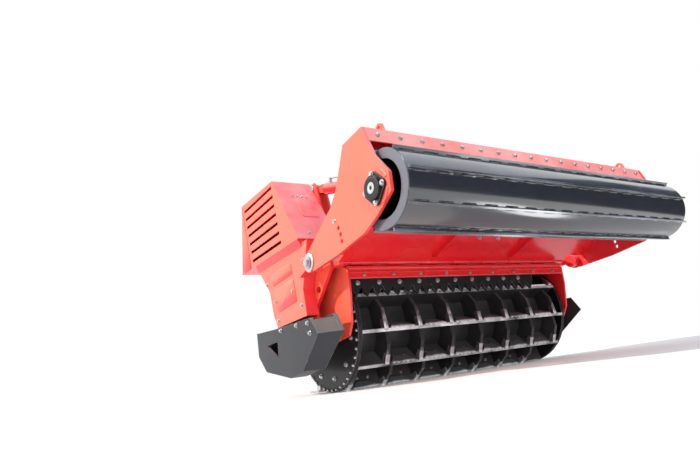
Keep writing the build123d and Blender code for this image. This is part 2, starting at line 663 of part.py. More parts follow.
with BuildPart() as ring_tooth:
    with BuildSketch(Plane.YZ.offset(-RING_THICK / 2)):
        with BuildLine():
            Polyline(
                *[
                    (r * cos(radians(a)), r * sin(radians(a)))
                    for r, a in (
                        (RING_ROOT, -31), (TIP_R - 58, -31), (TIP_R - 22, -18), (TIP_R - 17, -9), (TIP_R, 0),
                        (TIP_R - 20, 3.5), (RING_ROOT, 3.5),
                    )
                ],
                close=True,
            )
        make_face()
    extrude(amount=RING_THICK)

blade_plane = Plane(
    origin=(0, TIP_R - 1, 0), x_dir=(1, 0, 0), z_dir=(0, -sin(BLADE_TILT), cos(BLADE_TILT)),
)
tooth_wide = 2 * BLADE_HALF / BLADE_TEETH
blade_edge = []
for i in range(BLADE_TEETH):
    blade_edge.append((-BLADE_HALF + (i + 0.35) * tooth_wide, 0))
    blade_edge.append((-BLADE_HALF + (i + 1) * tooth_wide, -9))
with BuildPart() as blade:
    with BuildSketch(blade_plane):
        with BuildLine():
            Polyline((-80, -BLADE_DEEP), (-BLADE_HALF, -9), *blade_edge, (25, -BLADE_DEEP), close=True)
        make_face()
    extrude(amount=BLADE_THICK)

ring_places = []
blade_places = []
for row, shift in enumerate(ROW_SHIFTS):
    turn = ROW_BASE - row * ROW_STEP
    for station in range(STATIONS):
        x = -DRUM_HALF + (station + shift) * STATION_PITCH
        if abs(x) < DRUM_HALF - RING_THICK / 2:
            ring_places.append(Location((x, AXIS_Y, AXIS_Z), (turn, 0, 0)))
        if abs(x + STATION_PITCH / 2) < BLADE_LIMIT:
            blade_places.append(Location((x + STATION_PITCH / 2, AXIS_Y, AXIS_Z), (turn, 0, 0)))

with BuildPart() as rotor_drum:
    with BuildSketch(axis_plane.offset(-DRUM_HALF)):
        Circle(DRUM_R)
        for row in range(ROTOR_ROWS):
            with Locations(Location((0, 0), ROW_BASE - row * ROW_STEP)):
                with Locations(((DRUM_R + BAR_OUT) / 2 - 4, BAR_THICK / 2 + 3)):
                    Rectangle(BAR_OUT - DRUM_R + 8, BAR_THICK)
        Circle(DRUM_R - DRUM_WALL, mode=Mode.SUBTRACT)
    extrude(amount=2 * DRUM_HALF)
    with Locations(*ring_places):
        add(ring_tooth.part)
    with Locations(*blade_places):
        add(blade.part)
finish(rotor_drum.part, "rotor_drum")

for side, s in SIDES:
    with BuildPart() as rotor_disc:
        with BuildSketch(axis_plane.offset(s * DRUM_HALF)):
            Circle(DISC_R)
        extrude(amount=s * DISC_THICK)
        with BuildSketch(axis_plane.offset(s * ROTOR_HALF)):
            Circle(STUB_R)
        extrude(amount=s * (PLATE_OUT - 12 - ROTOR_HALF))
    finish(rotor_disc.part, f"rotor_disc_{side}")
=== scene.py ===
import json
from math import cos, pi, radians, sin

import bpy
from mathutils import Matrix, Vector


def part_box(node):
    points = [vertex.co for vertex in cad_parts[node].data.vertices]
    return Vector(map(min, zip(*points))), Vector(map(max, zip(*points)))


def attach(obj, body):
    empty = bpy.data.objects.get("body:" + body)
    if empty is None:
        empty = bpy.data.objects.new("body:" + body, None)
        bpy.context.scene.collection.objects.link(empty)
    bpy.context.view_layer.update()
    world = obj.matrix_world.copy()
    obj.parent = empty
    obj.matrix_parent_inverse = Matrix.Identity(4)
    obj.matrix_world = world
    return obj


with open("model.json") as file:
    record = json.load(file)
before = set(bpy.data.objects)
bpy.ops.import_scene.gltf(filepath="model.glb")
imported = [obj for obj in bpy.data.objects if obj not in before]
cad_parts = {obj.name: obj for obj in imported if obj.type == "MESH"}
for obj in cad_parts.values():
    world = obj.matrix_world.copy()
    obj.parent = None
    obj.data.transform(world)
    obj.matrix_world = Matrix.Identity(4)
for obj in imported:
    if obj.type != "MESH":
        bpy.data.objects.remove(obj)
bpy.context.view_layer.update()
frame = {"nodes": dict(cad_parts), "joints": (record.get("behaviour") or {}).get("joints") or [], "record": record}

bl_info = {
    "name": "Rotary Tiller",
    "version": (1, 0, 0),
    "blender": (4, 5, 0),
    "location": "View3D > Sidebar > Tiller",
    "description": "Dresses a rotary tiller on its packed frame",
    "category": "Object",
}

# ---- the frame
JOINT_AT = {joint["name"]: Vector(joint["pos_m"]) for joint in frame["joints"] if "pos_m" in joint}
ROTOR_AXIS = JOINT_AT["rotor_spin"]
SIDES = (("left", -1), ("right", 1))
HOME = Matrix.Identity(4)


def far_side(node):
    """How far a node of the right side reaches from the middle."""
    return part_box(node)[1].x


def joint_spot(joint):
    """How far a joint's line stands forward of and above the rotor's axis."""
    reach = JOINT_AT[joint] - ROTOR_AXIS
    return reach.y, reach.z


def at(x, forward, up):
    """A point x from the middle, forward of and above the rotor's axis."""
    return Vector((x, ROTOR_AXIS.y + forward, ROTOR_AXIS.z + up))


COVER_X = far_side("side_cover_right")
BEARING_X = far_side("bearing_right")
ARM_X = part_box("bearing_right")[0].x
ROLLER_HALF = far_side("roller_shell")
DRUM_HALF = far_side("rotor_drum")
DISC_X = DRUM_HALF + 0.030
PIN_END = ARM_X + 0.012
INNER_X = far_side("rear_beam")
TUBE_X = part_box("drive_tube_right")[0].x
CYLINDER_X = JOINT_AT["barrel_pivot_right"].x
HOOD_PIVOT = joint_spot("hood_hinge")
ROLLER_AT = joint_spot("roller_spin")
BASE_EYE = joint_spot("barrel_pivot_right")
ROD_EYE = (-0.900, 0.790)


# ---- what a user may change
def colour_property(name, description, default):
    """A colour that the panel shows."""
    return bpy.props.FloatVectorProperty(
        name=name, description=description, subtype="COLOR", default=default)


def length_property(name, description, default):
    """A length in metres that the panel shows."""
    return bpy.props.FloatProperty(name=name, description=description, unit="LENGTH", default=default)


def angle_property(name, description, default):
    """An angle, given here in degrees, that the panel shows."""
    return bpy.props.FloatProperty(
        name=name, description=description, subtype="ANGLE", default=radians(default))


class TillerColours(bpy.types.PropertyGroup):
    """Colours of the tiller's finishes."""

    red: colour_property("Red", "Paint of the housing and the hood", (0.80, 0.006, 0.014))
    # Painted sunlight: a paler red painted on outward faces and on the crossbeam, as if the sun lit them.
    sunlit_red: colour_property("Sunned red", "Red that the sun has paled", (0.92, 0.118, 0.062))
    # Painted sky sheen: a pale pink painted on the upward faces of the red paints, as a reflection of the sky.
    sky_sheen: colour_property("Bloom", "Pale bloom of the red on faces open to the sky", (0.90, 0.52, 0.56))
    anthracite: colour_property("Anthracite", "Paint of the skids", (0.020, 0.023, 0.030))
    roller: colour_property("Roller black", "Paint of the roller", (0.016, 0.018, 0.025))
    rotor: colour_property("Rotor black", "Paint of the rotor's drum and tools", (0.018, 0.018, 0.021))
    comb: colour_property("Comb black", "Paint of the comb, discs and bearings", (0.008, 0.008, 0.010))
    bare: colour_property("Bare steel", "Steel worn bright at the tools", (0.74, 0.74, 0.76))
    zinc: colour_property("Zinc", "Plating of bolts and stands", (0.66, 0.67, 0.69))
    dust: colour_property("Dust", "Pale dust in the finish", (0.42, 0.37, 0.33))


class TillerSizes(bpy.types.PropertyGroup):
    """Sizes of the small parts."""

    large_bolt: length_property("Large bolt", "Across flats of the casing and beam bolts", 0.021)
    small_bolt: length_property("Small bolt", "Across flats of the cover and blade bolts", 0.015)
    pivot_bolt: length_property("Pivot bolt", "Across flats of the bolts on the hood's pivots", 0.046)
    bearing_bolt: length_property("Bearing bolt", "Across flats of the roller bearings' bolts", 0.022)
    pipe: length_property("Pipe", "Diameter of the rigid oil pipes", 0.015)
    weld: length_property("Weld", "Width of a weld bead", 0.008)


class TillerView(bpy.types.PropertyGroup):
    """The camera behind the left corner, low over the floor."""

    place: bpy.props.FloatVectorProperty(
        name="Place", description="Camera from the rotor's axis", subtype="TRANSLATION",
        default=(-2.832, -3.256, -0.320))
    heading: angle_property("Heading", "Turn from straight ahead", 32.96)
    rise: angle_property("Rise", "Tilt above level", 15.16)
    roll: angle_property("Roll", "Roll about the line of sight", -7.96)
    lens: bpy.props.FloatProperty(name="Lens", description="Focal length in mm", default=26.50)


def colours():
    """The colours as the user has set them."""
    return bpy.context.scene.tiller_colours


def sizes():
    """The sizes as the user has set them."""
    return bpy.context.scene.tiller_sizes


# ---- shader nodes
def put(tree, socket, value):
    """Links a node's output to a socket, or sets a number, a vector or a colour on it."""
    if isinstance(value, bpy.types.NodeSocket):
        tree.links.new(value, socket)
    elif socket.type == "RGBA":
        socket.default_value = (*value, 1.0)
    else:
        socket.default_value = value


def feed(tree, node, **values):
    """Links or sets a node's inputs; underscores in a keyword stand for spaces."""
    for label, value in values.items():
        put(tree, node.inputs[label.replace("_", " ")], value)
    return node


def add_node(tree, kind, **values):
    """A node of that kind with its inputs linked or set."""
    return feed(tree, tree.nodes.new("ShaderNode" + kind), **values)


def add_math(tree, operation, first, second):
    """A math node fed by outputs or plain numbers; returns its value."""
    node = add_node(tree, "Math")
    node.operation = operation
    put(tree, node.inputs[0], first)
    put(tree, node.inputs[1], second)
    return node.outputs[0]


def add_noise(tree, vector, scale, detail):
    """A noise texture on the given coordinates; returns its value."""
    return add_node(tree, "TexNoise", Vector=vector, Scale=scale, Detail=detail).outputs["Fac"]


def add_ramp(tree, value, low, high):
    """A smooth step from 0 at low to 1 at high."""
    node = add_node(tree, "MapRange", Value=value, From_Min=low, From_Max=high)
    node.interpolation_type = "SMOOTHSTEP"
    return node.outputs["Result"]


def add_mix(tree, factor, first, second):
    """A colour mix; returns its colour."""
    node = add_node(tree, "Mix", Factor=factor)
    node.data_type = "RGBA"
    colour_inputs = [socket for socket in node.inputs if socket.type == "RGBA"]
    for socket, value in zip(colour_inputs, (first, second)):
        put(tree, socket, value)
    return [socket for socket in node.outputs if socket.type == "RGBA"][0]


def add_split(tree, vector):
    """The X, Y and Z outputs of a vector."""
    return add_node(tree, "SeparateXYZ", Vector=vector).outputs


def add_bump(tree, height, strength, distance, normal):
    """A bump on top of a given normal; returns the new normal."""
    return add_node(tree, "Bump", Height=height, Strength=strength, Distance=distance,
                    Normal=normal).outputs["Normal"]


def object_coordinates(tree):
    """Object coordinates, which turn with the body that a piece rides."""
    return add_node(tree, "TexCoord").outputs["Object"]


def surface_normal(tree):
    """The normal of the face."""
    return add_node(tree, "NewGeometry").outputs["Normal"]


def backdrop_rays(tree):
    """1 for straight, glossy and through-glass rays, which show a backdrop plain; and every kind."""
    rays = add_node(tree, "LightPath").outputs
    plain = add_math(tree, "MAXIMUM", rays["Is Camera Ray"], rays["Is Transmission Ray"])
    return add_math(tree, "MAXIMUM", plain, rays["Is Glossy Ray"]), rays


# ---- shader groups; a pair of numbers is where a smooth step starts and ends
EDGE_TURN = (0.04, 0.22)
EDGE_PATCHES = (0.42, 0.60)
TONE_PATCHES = (0.35, 0.70)
LYING_FACE = (0.05, 0.45)
# The pale film on upward faces is dust, and on the red paints and the roller a painted sky sheen.
DUST_AND_SHEEN_FILM = (-0.30, 1.20)
DUST_AND_SHEEN_UPRIGHT = 0.10
GRAIN_SCALE = 420.0


def new_group(name, inputs, outputs):
    """An empty shader node group with named sockets, and its two end nodes."""
    group = bpy.data.node_groups.new(name, "ShaderNodeTree")
    for label, kind, default in inputs:
        socket = group.interface.new_socket(name=label, in_out="INPUT", socket_type=kind)
        socket.default_value = default
    for label, kind in outputs:
        group.interface.new_socket(name=label, in_out="OUTPUT", socket_type=kind)
    return group, group.nodes.new("NodeGroupInput"), group.nodes.new("NodeGroupOutput")


def make_edge_group():
    """Rounded corners and a mask of the sharp edges, from the bevelled normal."""
    group, inside, outside = new_group(
        "Edge Wear",
        (("Coordinates", "NodeSocketVector", (0, 0, 0)), ("Width", "NodeSocketFloat", 0.004),
         ("Patch Scale", "NodeSocketFloat", 14.0)),
        (("Edge", "NodeSocketFloat"), ("Normal", "NodeSocketVector")))
    bevel = add_node(group, "Bevel", Radius=inside.outputs["Width"])
    bevel.samples = 4
    dot = add_node(group, "VectorMath")
    dot.operation = "DOT_PRODUCT"
    group.links.new(bevel.outputs["Normal"], dot.inputs[0])
    group.links.new(surface_normal(group), dot.inputs[1])
    turn = add_ramp(group, add_math(group, "SUBTRACT", 1.0, dot.outputs["Value"]), *EDGE_TURN)
    patches = add_noise(group, inside.outputs["Coordinates"], inside.outputs["Patch Scale"], 5.0)
    edge = add_math(group, "MULTIPLY", turn, add_ramp(group, patches, *EDGE_PATCHES))
    feed(group, outside, Edge=edge, Normal=bevel.outputs["Normal"])
    return group


def make_tone_group():
    """Slow changes of tone, fine grime, and a pale film on upward faces: dust on some paints, a painted sky sheen
    on the red paints and the roller.
    """
    white = (1, 1, 1, 1)
    group, inside, outside = new_group(
        "Weathered Tone and Sky Sheen",
        (("Coordinates", "NodeSocketVector", (0, 0, 0)), ("Colour", "NodeSocketColor", white),
         ("Second", "NodeSocketColor", white), ("Dust", "NodeSocketColor", white),
         ("Dustiness", "NodeSocketFloat", 0.2), ("Scale", "NodeSocketFloat", 1.6)),
        (("Colour", "NodeSocketColor"), ("Patches", "NodeSocketFloat"), ("Grain", "NodeSocketFloat")))
    given = inside.outputs
    slow = add_noise(group, given["Coordinates"], given["Scale"], 2.0)
    tone = add_mix(group, add_ramp(group, slow, *TONE_PATCHES), given["Colour"], given["Second"])
    lying = add_ramp(group, add_split(group, surface_normal(group))["Z"], *LYING_FACE)
    film = add_ramp(group, add_noise(group, given["Coordinates"], 5.0, 12.0), *DUST_AND_SHEEN_FILM)
    dust_and_sheen_film = add_math(group, "MULTIPLY", film, given["Dustiness"])
    # Where the pale film lies: dust, and the painted sky sheen on the red paints and the roller.
    dust_and_sheen_mask = add_math(group, "MULTIPLY", dust_and_sheen_film, add_math(group, "ADD", lying, DUST_AND_SHEEN_UPRIGHT))
    feed(group, outside, Colour=add_mix(group, dust_and_sheen_mask, tone, given["Dust"]), Patches=slow,
         Grain=add_noise(group, given["Coordinates"], GRAIN_SCALE, 2.0))
    return group


def add_group(tree, name, **values):
    """A group node with its inputs linked or set; returns its outputs."""
    makers = {"Edge Wear": make_edge_group, "Weathered Tone and Sky Sheen": make_tone_group}
    node = add_node(tree, "Group")
    node.node_tree = bpy.data.node_groups.get(name) or makers[name]()
    return feed(tree, node, **values).outputs


# ---- materials; a pair of numbers is where a smooth step starts and ends
WHITE = (1, 1, 1)
# Painted sunlight: where outward flanks take the paler red; faces turned down are kept out of it.
SUNLIT_FLANK = (0.70, 1.10)
UNDERSIDE_SHADE = 4.0
RIB_TIPS = (0.222, 0.230)
TOOL_TIPS = (0.450, 0.466)
TOOL_EDGES = (0.452, 0.468)
TOOL_SECOND = (0.035, 0.033, 0.034)
TOOL_RAGGED = 0.040
GRIME_PATCHES = (0.35, 0.75)
SCOURED_PATCHES = (0.30, 0.55)
SCOURED = (0.86, 0.86, 0.88)
# Painted sky reflection: a bluish film painted on the roller's upward faces.
ROLLER_SKY_SHEEN = (0.20, 0.26, 0.38)
# Painted highlight: a pale blue painted on the tips of the roller's ribs.
RIB_TIP_HIGHLIGHT = (0.16, 0.19, 0.25)
FLOOR_TONES = ((0.80, 0.80, 0.80), (0.84, 0.84, 0.84))
FLOOR_GLOW = 0.14
FLOOR_BOUNCE = 0.30
ROUGH_SWING = 0.22
STEEL_SWING = 0.3


def new_material(name):
    """An empty material with its Principled shader; returns material, tree and shader."""
    material = bpy.data.materials.new(name)
    material.use_nodes = True
    tree = material.node_tree
    return material, tree, tree.nodes["Principled BSDF"]


def radius_from(tree, place, axis):
    """The distance from an axis that lies along X."""
    parts = add_split(tree, add_node(tree, "Mapping", Vector=place, Location=-axis).outputs["Vector"])
    across = add_math(tree, "POWER", parts["Y"], 2.0)
    along = add_math(tree, "POWER", parts["Z"], 2.0)
    return add_math(tree, "SQRT", add_math(tree, "ADD", across, along), 0.0)


def sunlit_flank(tree, place):
    """Painted sunlight mask: 1 on faces that look outwards at the machine's sides, falling to 0 on faces turned
    down; there the paint is painted paler as if the sun lit it.
    """
    normal = add_split(tree, surface_normal(tree))
    outward = add_math(tree, "MULTIPLY", normal["X"], add_split(tree, place)["X"])
    downward = add_math(tree, "MULTIPLY", add_math(tree, "MINIMUM", normal["Z"], 0.0), UNDERSIDE_SHADE)
    return add_ramp(tree, add_math(tree, "ADD", outward, downward), *SUNLIT_FLANK)


def painted(name, colour, roughness, coat, dust_and_sheen, wear, under, second=None, shine=0.5, dust=None,
            sunlit_colour=None, tips=None):
    """Gloss paint on steel: slow tone changes, a thin pale film on upward faces (dust, or a painted sky sheen
    where a sheen colour is given), edges rubbed to what lies under it, and where asked, flanks painted paler as
    painted sunlight and rib tips painted as highlights.
    """
    material, tree, shader = new_material(name)
    place = object_coordinates(tree)
    second = second or colour
    # Painted sunlight: outward flanks take the paler red.
    if sunlit_colour:
        colour = add_mix(tree, sunlit_flank(tree, place), colour, sunlit_colour)
        second = add_mix(tree, sunlit_flank(tree, place), second, sunlit_colour)
    # Painted highlight on the tips of the roller's ribs.
    if tips:
        outside = add_ramp(tree, radius_from(tree, place, at(0, *ROLLER_AT)), *RIB_TIPS)
        colour = add_mix(tree, outside, colour, tips)
    # For the red paints and the roller the dust colour is a painted sky sheen.
    tone = add_group(tree, "Weathered Tone and Sky Sheen", Coordinates=place, Colour=colour, Second=second,
                     Dust=dust or colours().dust[:], Dustiness=dust_and_sheen)
    edge = add_group(tree, "Edge Wear", Coordinates=place, Width=0.004)
    rubbed = add_math(tree, "MULTIPLY", edge["Edge"], wear)
    spread = add_math(tree, "MULTIPLY", tone["Patches"], ROUGH_SWING)
    feed(tree, shader, Base_Color=add_mix(tree, rubbed, tone["Colour"], under),
         Roughness=add_math(tree, "ADD", spread, roughness - ROUGH_SWING / 2),
         Specular_IOR_Level=shine, Coat_Weight=coat, Coat_Roughness=0.12,
         Normal=add_bump(tree, tone["Grain"], 0.05, 0.001, edge["Normal"]))
    return material


def blend(first, second, share):
    """A colour that is first, with a share of second in it."""
    return tuple((1 - share) * a + share * b for a, b in zip(first, second))


def paint_looks():
    """What each paint is made of, by name."""
    c = colours()
    red, sunlit_red, sky_sheen, bare, dust = c.red[:], c.sunlit_red[:], c.sky_sheen[:], c.bare[:], c.dust[:]
    return {
        # The red paints take a painted sky sheen on upward faces in place of dust.
        "red_paint": dict(
            colour=red, second=blend(red, sunlit_red, 0.10), roughness=0.26, coat=0.5, dust_and_sheen=0.25,
            wear=0.2, under=dust, shine=0.35, dust=sky_sheen, sunlit_colour=sunlit_red),
        # The crossbeam's red, painted paler all over as if sunlit.
        "sunlit_red_paint": dict(
            colour=blend(red, sunlit_red, 0.45), second=sunlit_red, roughness=0.34, coat=0.25, dust_and_sheen=0.9,
            wear=0.2, under=dust, shine=0.4, dust=sky_sheen),
        "casing_paint": dict(
            colour=red, second=blend(red, sunlit_red, 0.15), roughness=0.36, coat=0.3, dust_and_sheen=0.75,
            wear=0.2, under=dust, shine=0.4, dust=sky_sheen, sunlit_colour=sunlit_red),
        "skid_paint": dict(
            colour=c.anthracite[:], roughness=0.45, coat=0.05, dust_and_sheen=0.30, wear=0.5, under=bare,
            shine=0.3),
        # The roller: a painted bluish sky reflection on upward faces and a painted highlight on its rib tips.
        "roller_paint": dict(
            colour=c.roller[:], roughness=0.18, coat=1.0, dust_and_sheen=0.35, wear=0.5, under=c.zinc[:],
            shine=0.8, dust=ROLLER_SKY_SHEEN, tips=RIB_TIP_HIGHLIGHT),
        # The roller black painted lighter, as a painted reflection of the sky on the end rings and caps.
        "sky_sheen_ring_paint": dict(
            colour=tuple(4.5 * part + 0.03 for part in c.roller), roughness=0.35, coat=0.6,
            dust_and_sheen=0.05, wear=0.3, under=bare),
        "comb_paint": dict(
            colour=c.comb[:], roughness=0.40, coat=0.1, dust_and_sheen=0.04, wear=0.6, under=bare, shine=0.3),
    }


def steel(name, colour, roughness, grime, scale):
    """Bare or plated metal with a rolled grain and darker patches."""
    material, tree, shader = new_material(name)
    place = object_coordinates(tree)
    patches = add_noise(tree, place, scale, 4.0)
    dull = tuple(part * (1 - grime) for part in colour)
    spread = add_math(tree, "MULTIPLY", patches, STEEL_SWING)
    edge = add_group(tree, "Edge Wear", Coordinates=place, Width=0.0015)
    feed(tree, shader, Base_Color=add_mix(tree, add_ramp(tree, patches, *GRIME_PATCHES), colour, dull),
         Roughness=add_math(tree, "ADD", spread, roughness - STEEL_SWING / 2), Metallic=1.0,
         Normal=add_bump(tree, add_noise(tree, place, scale * 18, 2.0), 0.15, 0.0006, edge["Normal"]))
    return material


def steel_looks():
    """Colour, roughness, grime and scale of the patches of each plain steel, by name."""
    return {
        "zinc_plate": (colours().zinc[:], 0.34, 0.25, 22.0),
        "bare_steel": (colours().bare[:], 0.38, 0.35, 16.0),
        "chrome_rod": ((0.80, 0.81, 0.83), 0.18, 0.08, 9.0),
        "cast_iron": ((0.30, 0.31, 0.33), 0.50, 0.45, 30.0),
    }


def bright_steel(name):
    """Steel scoured pale by the ground, more matt than plated metal."""
    material, tree, shader = new_material(name)
    patches = add_noise(tree, object_coordinates(tree), 30.0, 4.0)
    scoured = add_ramp(tree, patches, *SCOURED_PATCHES)
    feed(tree, shader, Base_Color=add_mix(tree, scoured, colours().dust[:], SCOURED), Metallic=0.15,
         Roughness=0.35)
    return material


def tool_steel(name):
    """Black rotor paint worn bright towards the tool tips by the ground."""
    material, tree, shader = new_material(name)
    c = colours()
    place = object_coordinates(tree)
    ragged = add_math(tree, "MULTIPLY", add_noise(tree, place, 6.0, 5.0), TOOL_RAGGED)
    reach = add_math(tree, "ADD", radius_from(tree, place, ROTOR_AXIS), ragged)
    edge = add_group(tree, "Edge Wear", Coordinates=place, Width=0.003, Patch_Scale=10.0)
    rubbed = add_math(tree, "MULTIPLY", edge["Edge"], add_ramp(tree, reach, *TOOL_EDGES))
    worn = add_math(tree, "MAXIMUM", add_ramp(tree, reach, *TOOL_TIPS), rubbed)
    tone = add_group(tree, "Weathered Tone and Sky Sheen", Coordinates=place, Colour=c.rotor[:], Second=TOOL_SECOND,
                     Dust=c.dust[:], Dustiness=0.10)
    gloss = add_math(tree, "MULTIPLY", add_noise(tree, place, 30.0, 3.0), 0.35)
    feed(tree, shader, Base_Color=add_mix(tree, worn, tone["Colour"], c.bare[:]),
         Metallic=add_math(tree, "MULTIPLY", worn, 0.4), Roughness=add_math(tree, "ADD", gloss, 0.18),
         Normal=add_bump(tree, add_noise(tree, place, 240.0, 3.0), 0.25, 0.0012, edge["Normal"]))
    return material


def floor_finish(name):
    """Pale floor that shows plain white to the eye and still takes the shadow."""
    material, tree, shader = new_material(name)
    patches = add_noise(tree, object_coordinates(tree), 0.8, 2.0)
    plain, rays = backdrop_rays(tree)
    glow = add_math(tree, "MULTIPLY", plain, FLOOR_GLOW)
    bounce = add_math(tree, "MULTIPLY", rays["Is Diffuse Ray"], FLOOR_BOUNCE)
    feed(tree, shader, Base_Color=add_mix(tree, patches, *FLOOR_TONES), Roughness=0.9,
         Specular_IOR_Level=0.1, Emission_Color=WHITE,
         Emission_Strength=add_math(tree, "ADD", glow, bounce))
    return material


OTHER_FINISHES = {"bright_steel": bright_steel, "tool_steel": tool_steel, "floor_finish": floor_finish}
NODE_FINISH = {
    "paint_red": "red_paint", "gearbox_red": "casing_paint", "skid_grey": "skid_paint",
    "roller_black": "roller_paint", "rotor_steel": "tool_steel", "comb_steel": "comb_paint",
    "bearing_iron": "cast_iron", "shaft_steel": "bare_steel", "rod_chrome": "chrome_rod",
    "stand_zinc": "zinc_plate",
}
# The crossbeam takes the red painted paler as if sunlit; the roller's caps take the roller black painted lighter
# as a sky reflection.
SPECIAL_FINISH = {
    "side_cover": "casing_paint", "gear_casing": "casing_paint", "hood_arm": "casing_paint",
    "crossbeam": "sunlit_red_paint", "roller_cap": "sky_sheen_ring_paint", "rotor_disc": "comb_paint",
    "bearing": "comb_paint",
}


def finish(name):
    """The material of that name, made once."""
    made = bpy.data.materials.get(name)
    if made:
        return made
    if name in OTHER_FINISHES:
        return OTHER_FINISHES[name](name)
    if name in steel_looks():
        return steel(name, *steel_looks()[name])
    return painted(name, **paint_looks()[name])


# ---- modelling by hand
BEVEL_ANGLE = radians(30)
THIN_PLATE = 0.004
EASED_EDGE = 0.0015
WASHER = ((0.80, 0), (0.80, 0.12), (0.5, 0.13))
HEAD_FOOT = 0.1
HEAD_TALL = 0.52
CHAMFER_IN = 0.84
CHAMFER_UP = 0.07


def deselect():
    """Leaves nothing selected."""
    bpy.ops.object.select_all(action="DESELECT")


def activate(obj):
    """Makes one object the selected and active one."""
    deselect()
    obj.select_set(True)
    bpy.context.view_layer.objects.active = obj


def open_mesh():
    """Opens the active mesh for editing, with all of it selected."""
    bpy.ops.object.mode_set(mode="EDIT")
    bpy.ops.mesh.select_all(action="SELECT")


def close_mesh():
    """Turns all faces of the open mesh outwards and closes it."""
    bpy.ops.mesh.select_all(action="SELECT")
    bpy.ops.mesh.normals_make_consistent(inside=False)
    bpy.ops.object.mode_set(mode="OBJECT")


def apply_place(obj):
    """Puts an object's place into its mesh."""
    activate(obj)
    bpy.ops.object.transform_apply(location=True, rotation=True, scale=True)


def push(height):
    """Extrudes what is selected along z."""
    bpy.ops.mesh.extrude_region_move(TRANSFORM_OT_translate={"value": (0, 0, height)})


def facing(point, outward):
    """A place whose z axis points outward."""
    turn = Vector(outward).to_track_quat("Z", "Y").to_matrix().to_4x4()
    return Matrix.Translation(point) @ turn


def side_face(x, s):
    """The plane of a side face: u forward, v up from the rotor's axis, z outwards."""
    turn = Matrix(((0, 0, s), (1, 0, 0), (0, 1, 0))).to_4x4()
    return Matrix.Translation(at(s * x, 0, 0)) @ turn


def section(s, forward):
    """A plane across the machine: u outwards from the middle, v up, z forward."""
    turn = Matrix(((s, 0, 0), (0, 0, 1), (0, 1, 0))).to_4x4()
    return Matrix.Translation(at(0, forward, 0)) @ turn


def on_sides(x, spots):
    """Places on both side faces x from the middle, from (forward, up) spots."""
    return [facing(at(s * x, forward, up), (s, 0, 0)) for _, s in SIDES for forward, up in spots]


def row(count, first, pitch):
    """Evenly spaced values."""
    return [first + pitch * i for i in range(count)]


def circle(count, radius, middle=(0, 0)):
    """Evenly spaced (forward, up) spots on a circle."""
    turns = [2 * pi * i / count for i in range(count)]
    return [(middle[0] + radius * cos(turn), middle[1] + radius * sin(turn)) for turn in turns]


def plate(outline, place, thick, corner=0):
    """A plate cut to an outline, pushed thick along the place's z axis, its corners rounded."""
    deselect()
    bpy.ops.mesh.primitive_circle_add(vertices=len(outline), fill_type="NGON")
    obj = bpy.context.object
    for vertex, (u, v) in zip(obj.data.vertices, outline):
        vertex.co = (u, v, 0)
    open_mesh()
    if corner:
        bpy.ops.mesh.bevel(offset=corner, segments=4, affect="VERTICES")
        bpy.ops.mesh.select_all(action="SELECT")
    push(thick)
    close_mesh()
    obj.matrix_world = place
    apply_place(obj)
    open_mesh()
    close_mesh()
    return obj


def round_edges(obj, width, segments=2):
    """Bevels the sharp edges."""
    activate(obj)
    bpy.ops.object.modifier_add(type="BEVEL")
    bevel = obj.modifiers[-1]
    bevel.width = width
    bevel.segments = segments
    bevel.limit_method = "ANGLE"
    bevel.angle_limit = BEVEL_ANGLE
    bpy.ops.object.modifier_apply(modifier=bevel.name)
    return obj


def turned(profile, steps, place=HOME):
    """A turned piece: (radius, height) points joined round the place's z axis."""
    deselect()
    bpy.ops.mesh.primitive_circle_add(vertices=steps, radius=profile[0][0], fill_type="NGON")
    obj = bpy.context.object
    open_mesh()
    bpy.ops.transform.translate(value=(0, 0, profile[0][1]))
    for (r0, h0), (r1, h1) in zip(profile, profile[1:]):
        push(h1 - h0)
        if r1 != r0:
            bpy.ops.transform.resize(value=(r1 / r0, r1 / r0, 1))
    close_mesh()
    obj.matrix_world = place
    return obj


def hex_bolt(across, tall):
    """A chamfered hexagon head on its washer, seated at z = 0; tall is in shares of its width."""
    washer = turned([(across * r, across * h) for r, h in WASHER], 18)
    corner = across / 3 ** 0.5
    foot = across * HEAD_FOOT
    edge = foot + across * tall
    head = turned([(corner, foot), (corner, edge), (corner * CHAMFER_IN, edge + across * CHAMFER_UP)], 6)
    return merge([washer, head])


def merge(parts):
    """Several objects made one."""
    deselect()
    for part in parts:
        part.select_set(True)
    bpy.context.view_layer.objects.active = parts[0]
    if len(parts) > 1:
        bpy.ops.object.join()
    return bpy.context.object


def set_out(master, places):
    """Copies of one piece, each with its own mesh, at the given places, made one."""
    copies = []
    for place in places:
        copy = master.copy()
        copy.data = master.data.copy()
        bpy.context.collection.objects.link(copy)
        copy.matrix_world = place
        copies.append(copy)
    bpy.data.objects.remove(master)
    return merge(copies)


def settle(obj, name, material, body, smooth=35):
    """Names a finished piece, applies its place, and gives it its finish and its body."""
    apply_place(obj)
    bpy.ops.object.shade_smooth_by_angle(angle=radians(smooth))
    obj.name = name
    obj.data.name = name
    obj.data.materials.clear()
    obj.data.materials.append(finish(material))
    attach(obj, body)
    return obj


def settle_plates(plates, rounding, name, material, body):
    """Plates with eased edges, in one piece."""
    return settle(round_edges(merge(plates), rounding), name, material, body)


def turned_set(name, profile, steps, places, material, body):
    """Copies of one turned piece in one piece."""
    return settle(set_out(turned(profile, steps), places), name, material, body)


def bolt_rows(name, across, places, body, material="zinc_plate", tall=HEAD_TALL):
    """A set of bolts in one piece."""
    return settle(set_out(hex_bolt(across, tall), places), name, material, body)


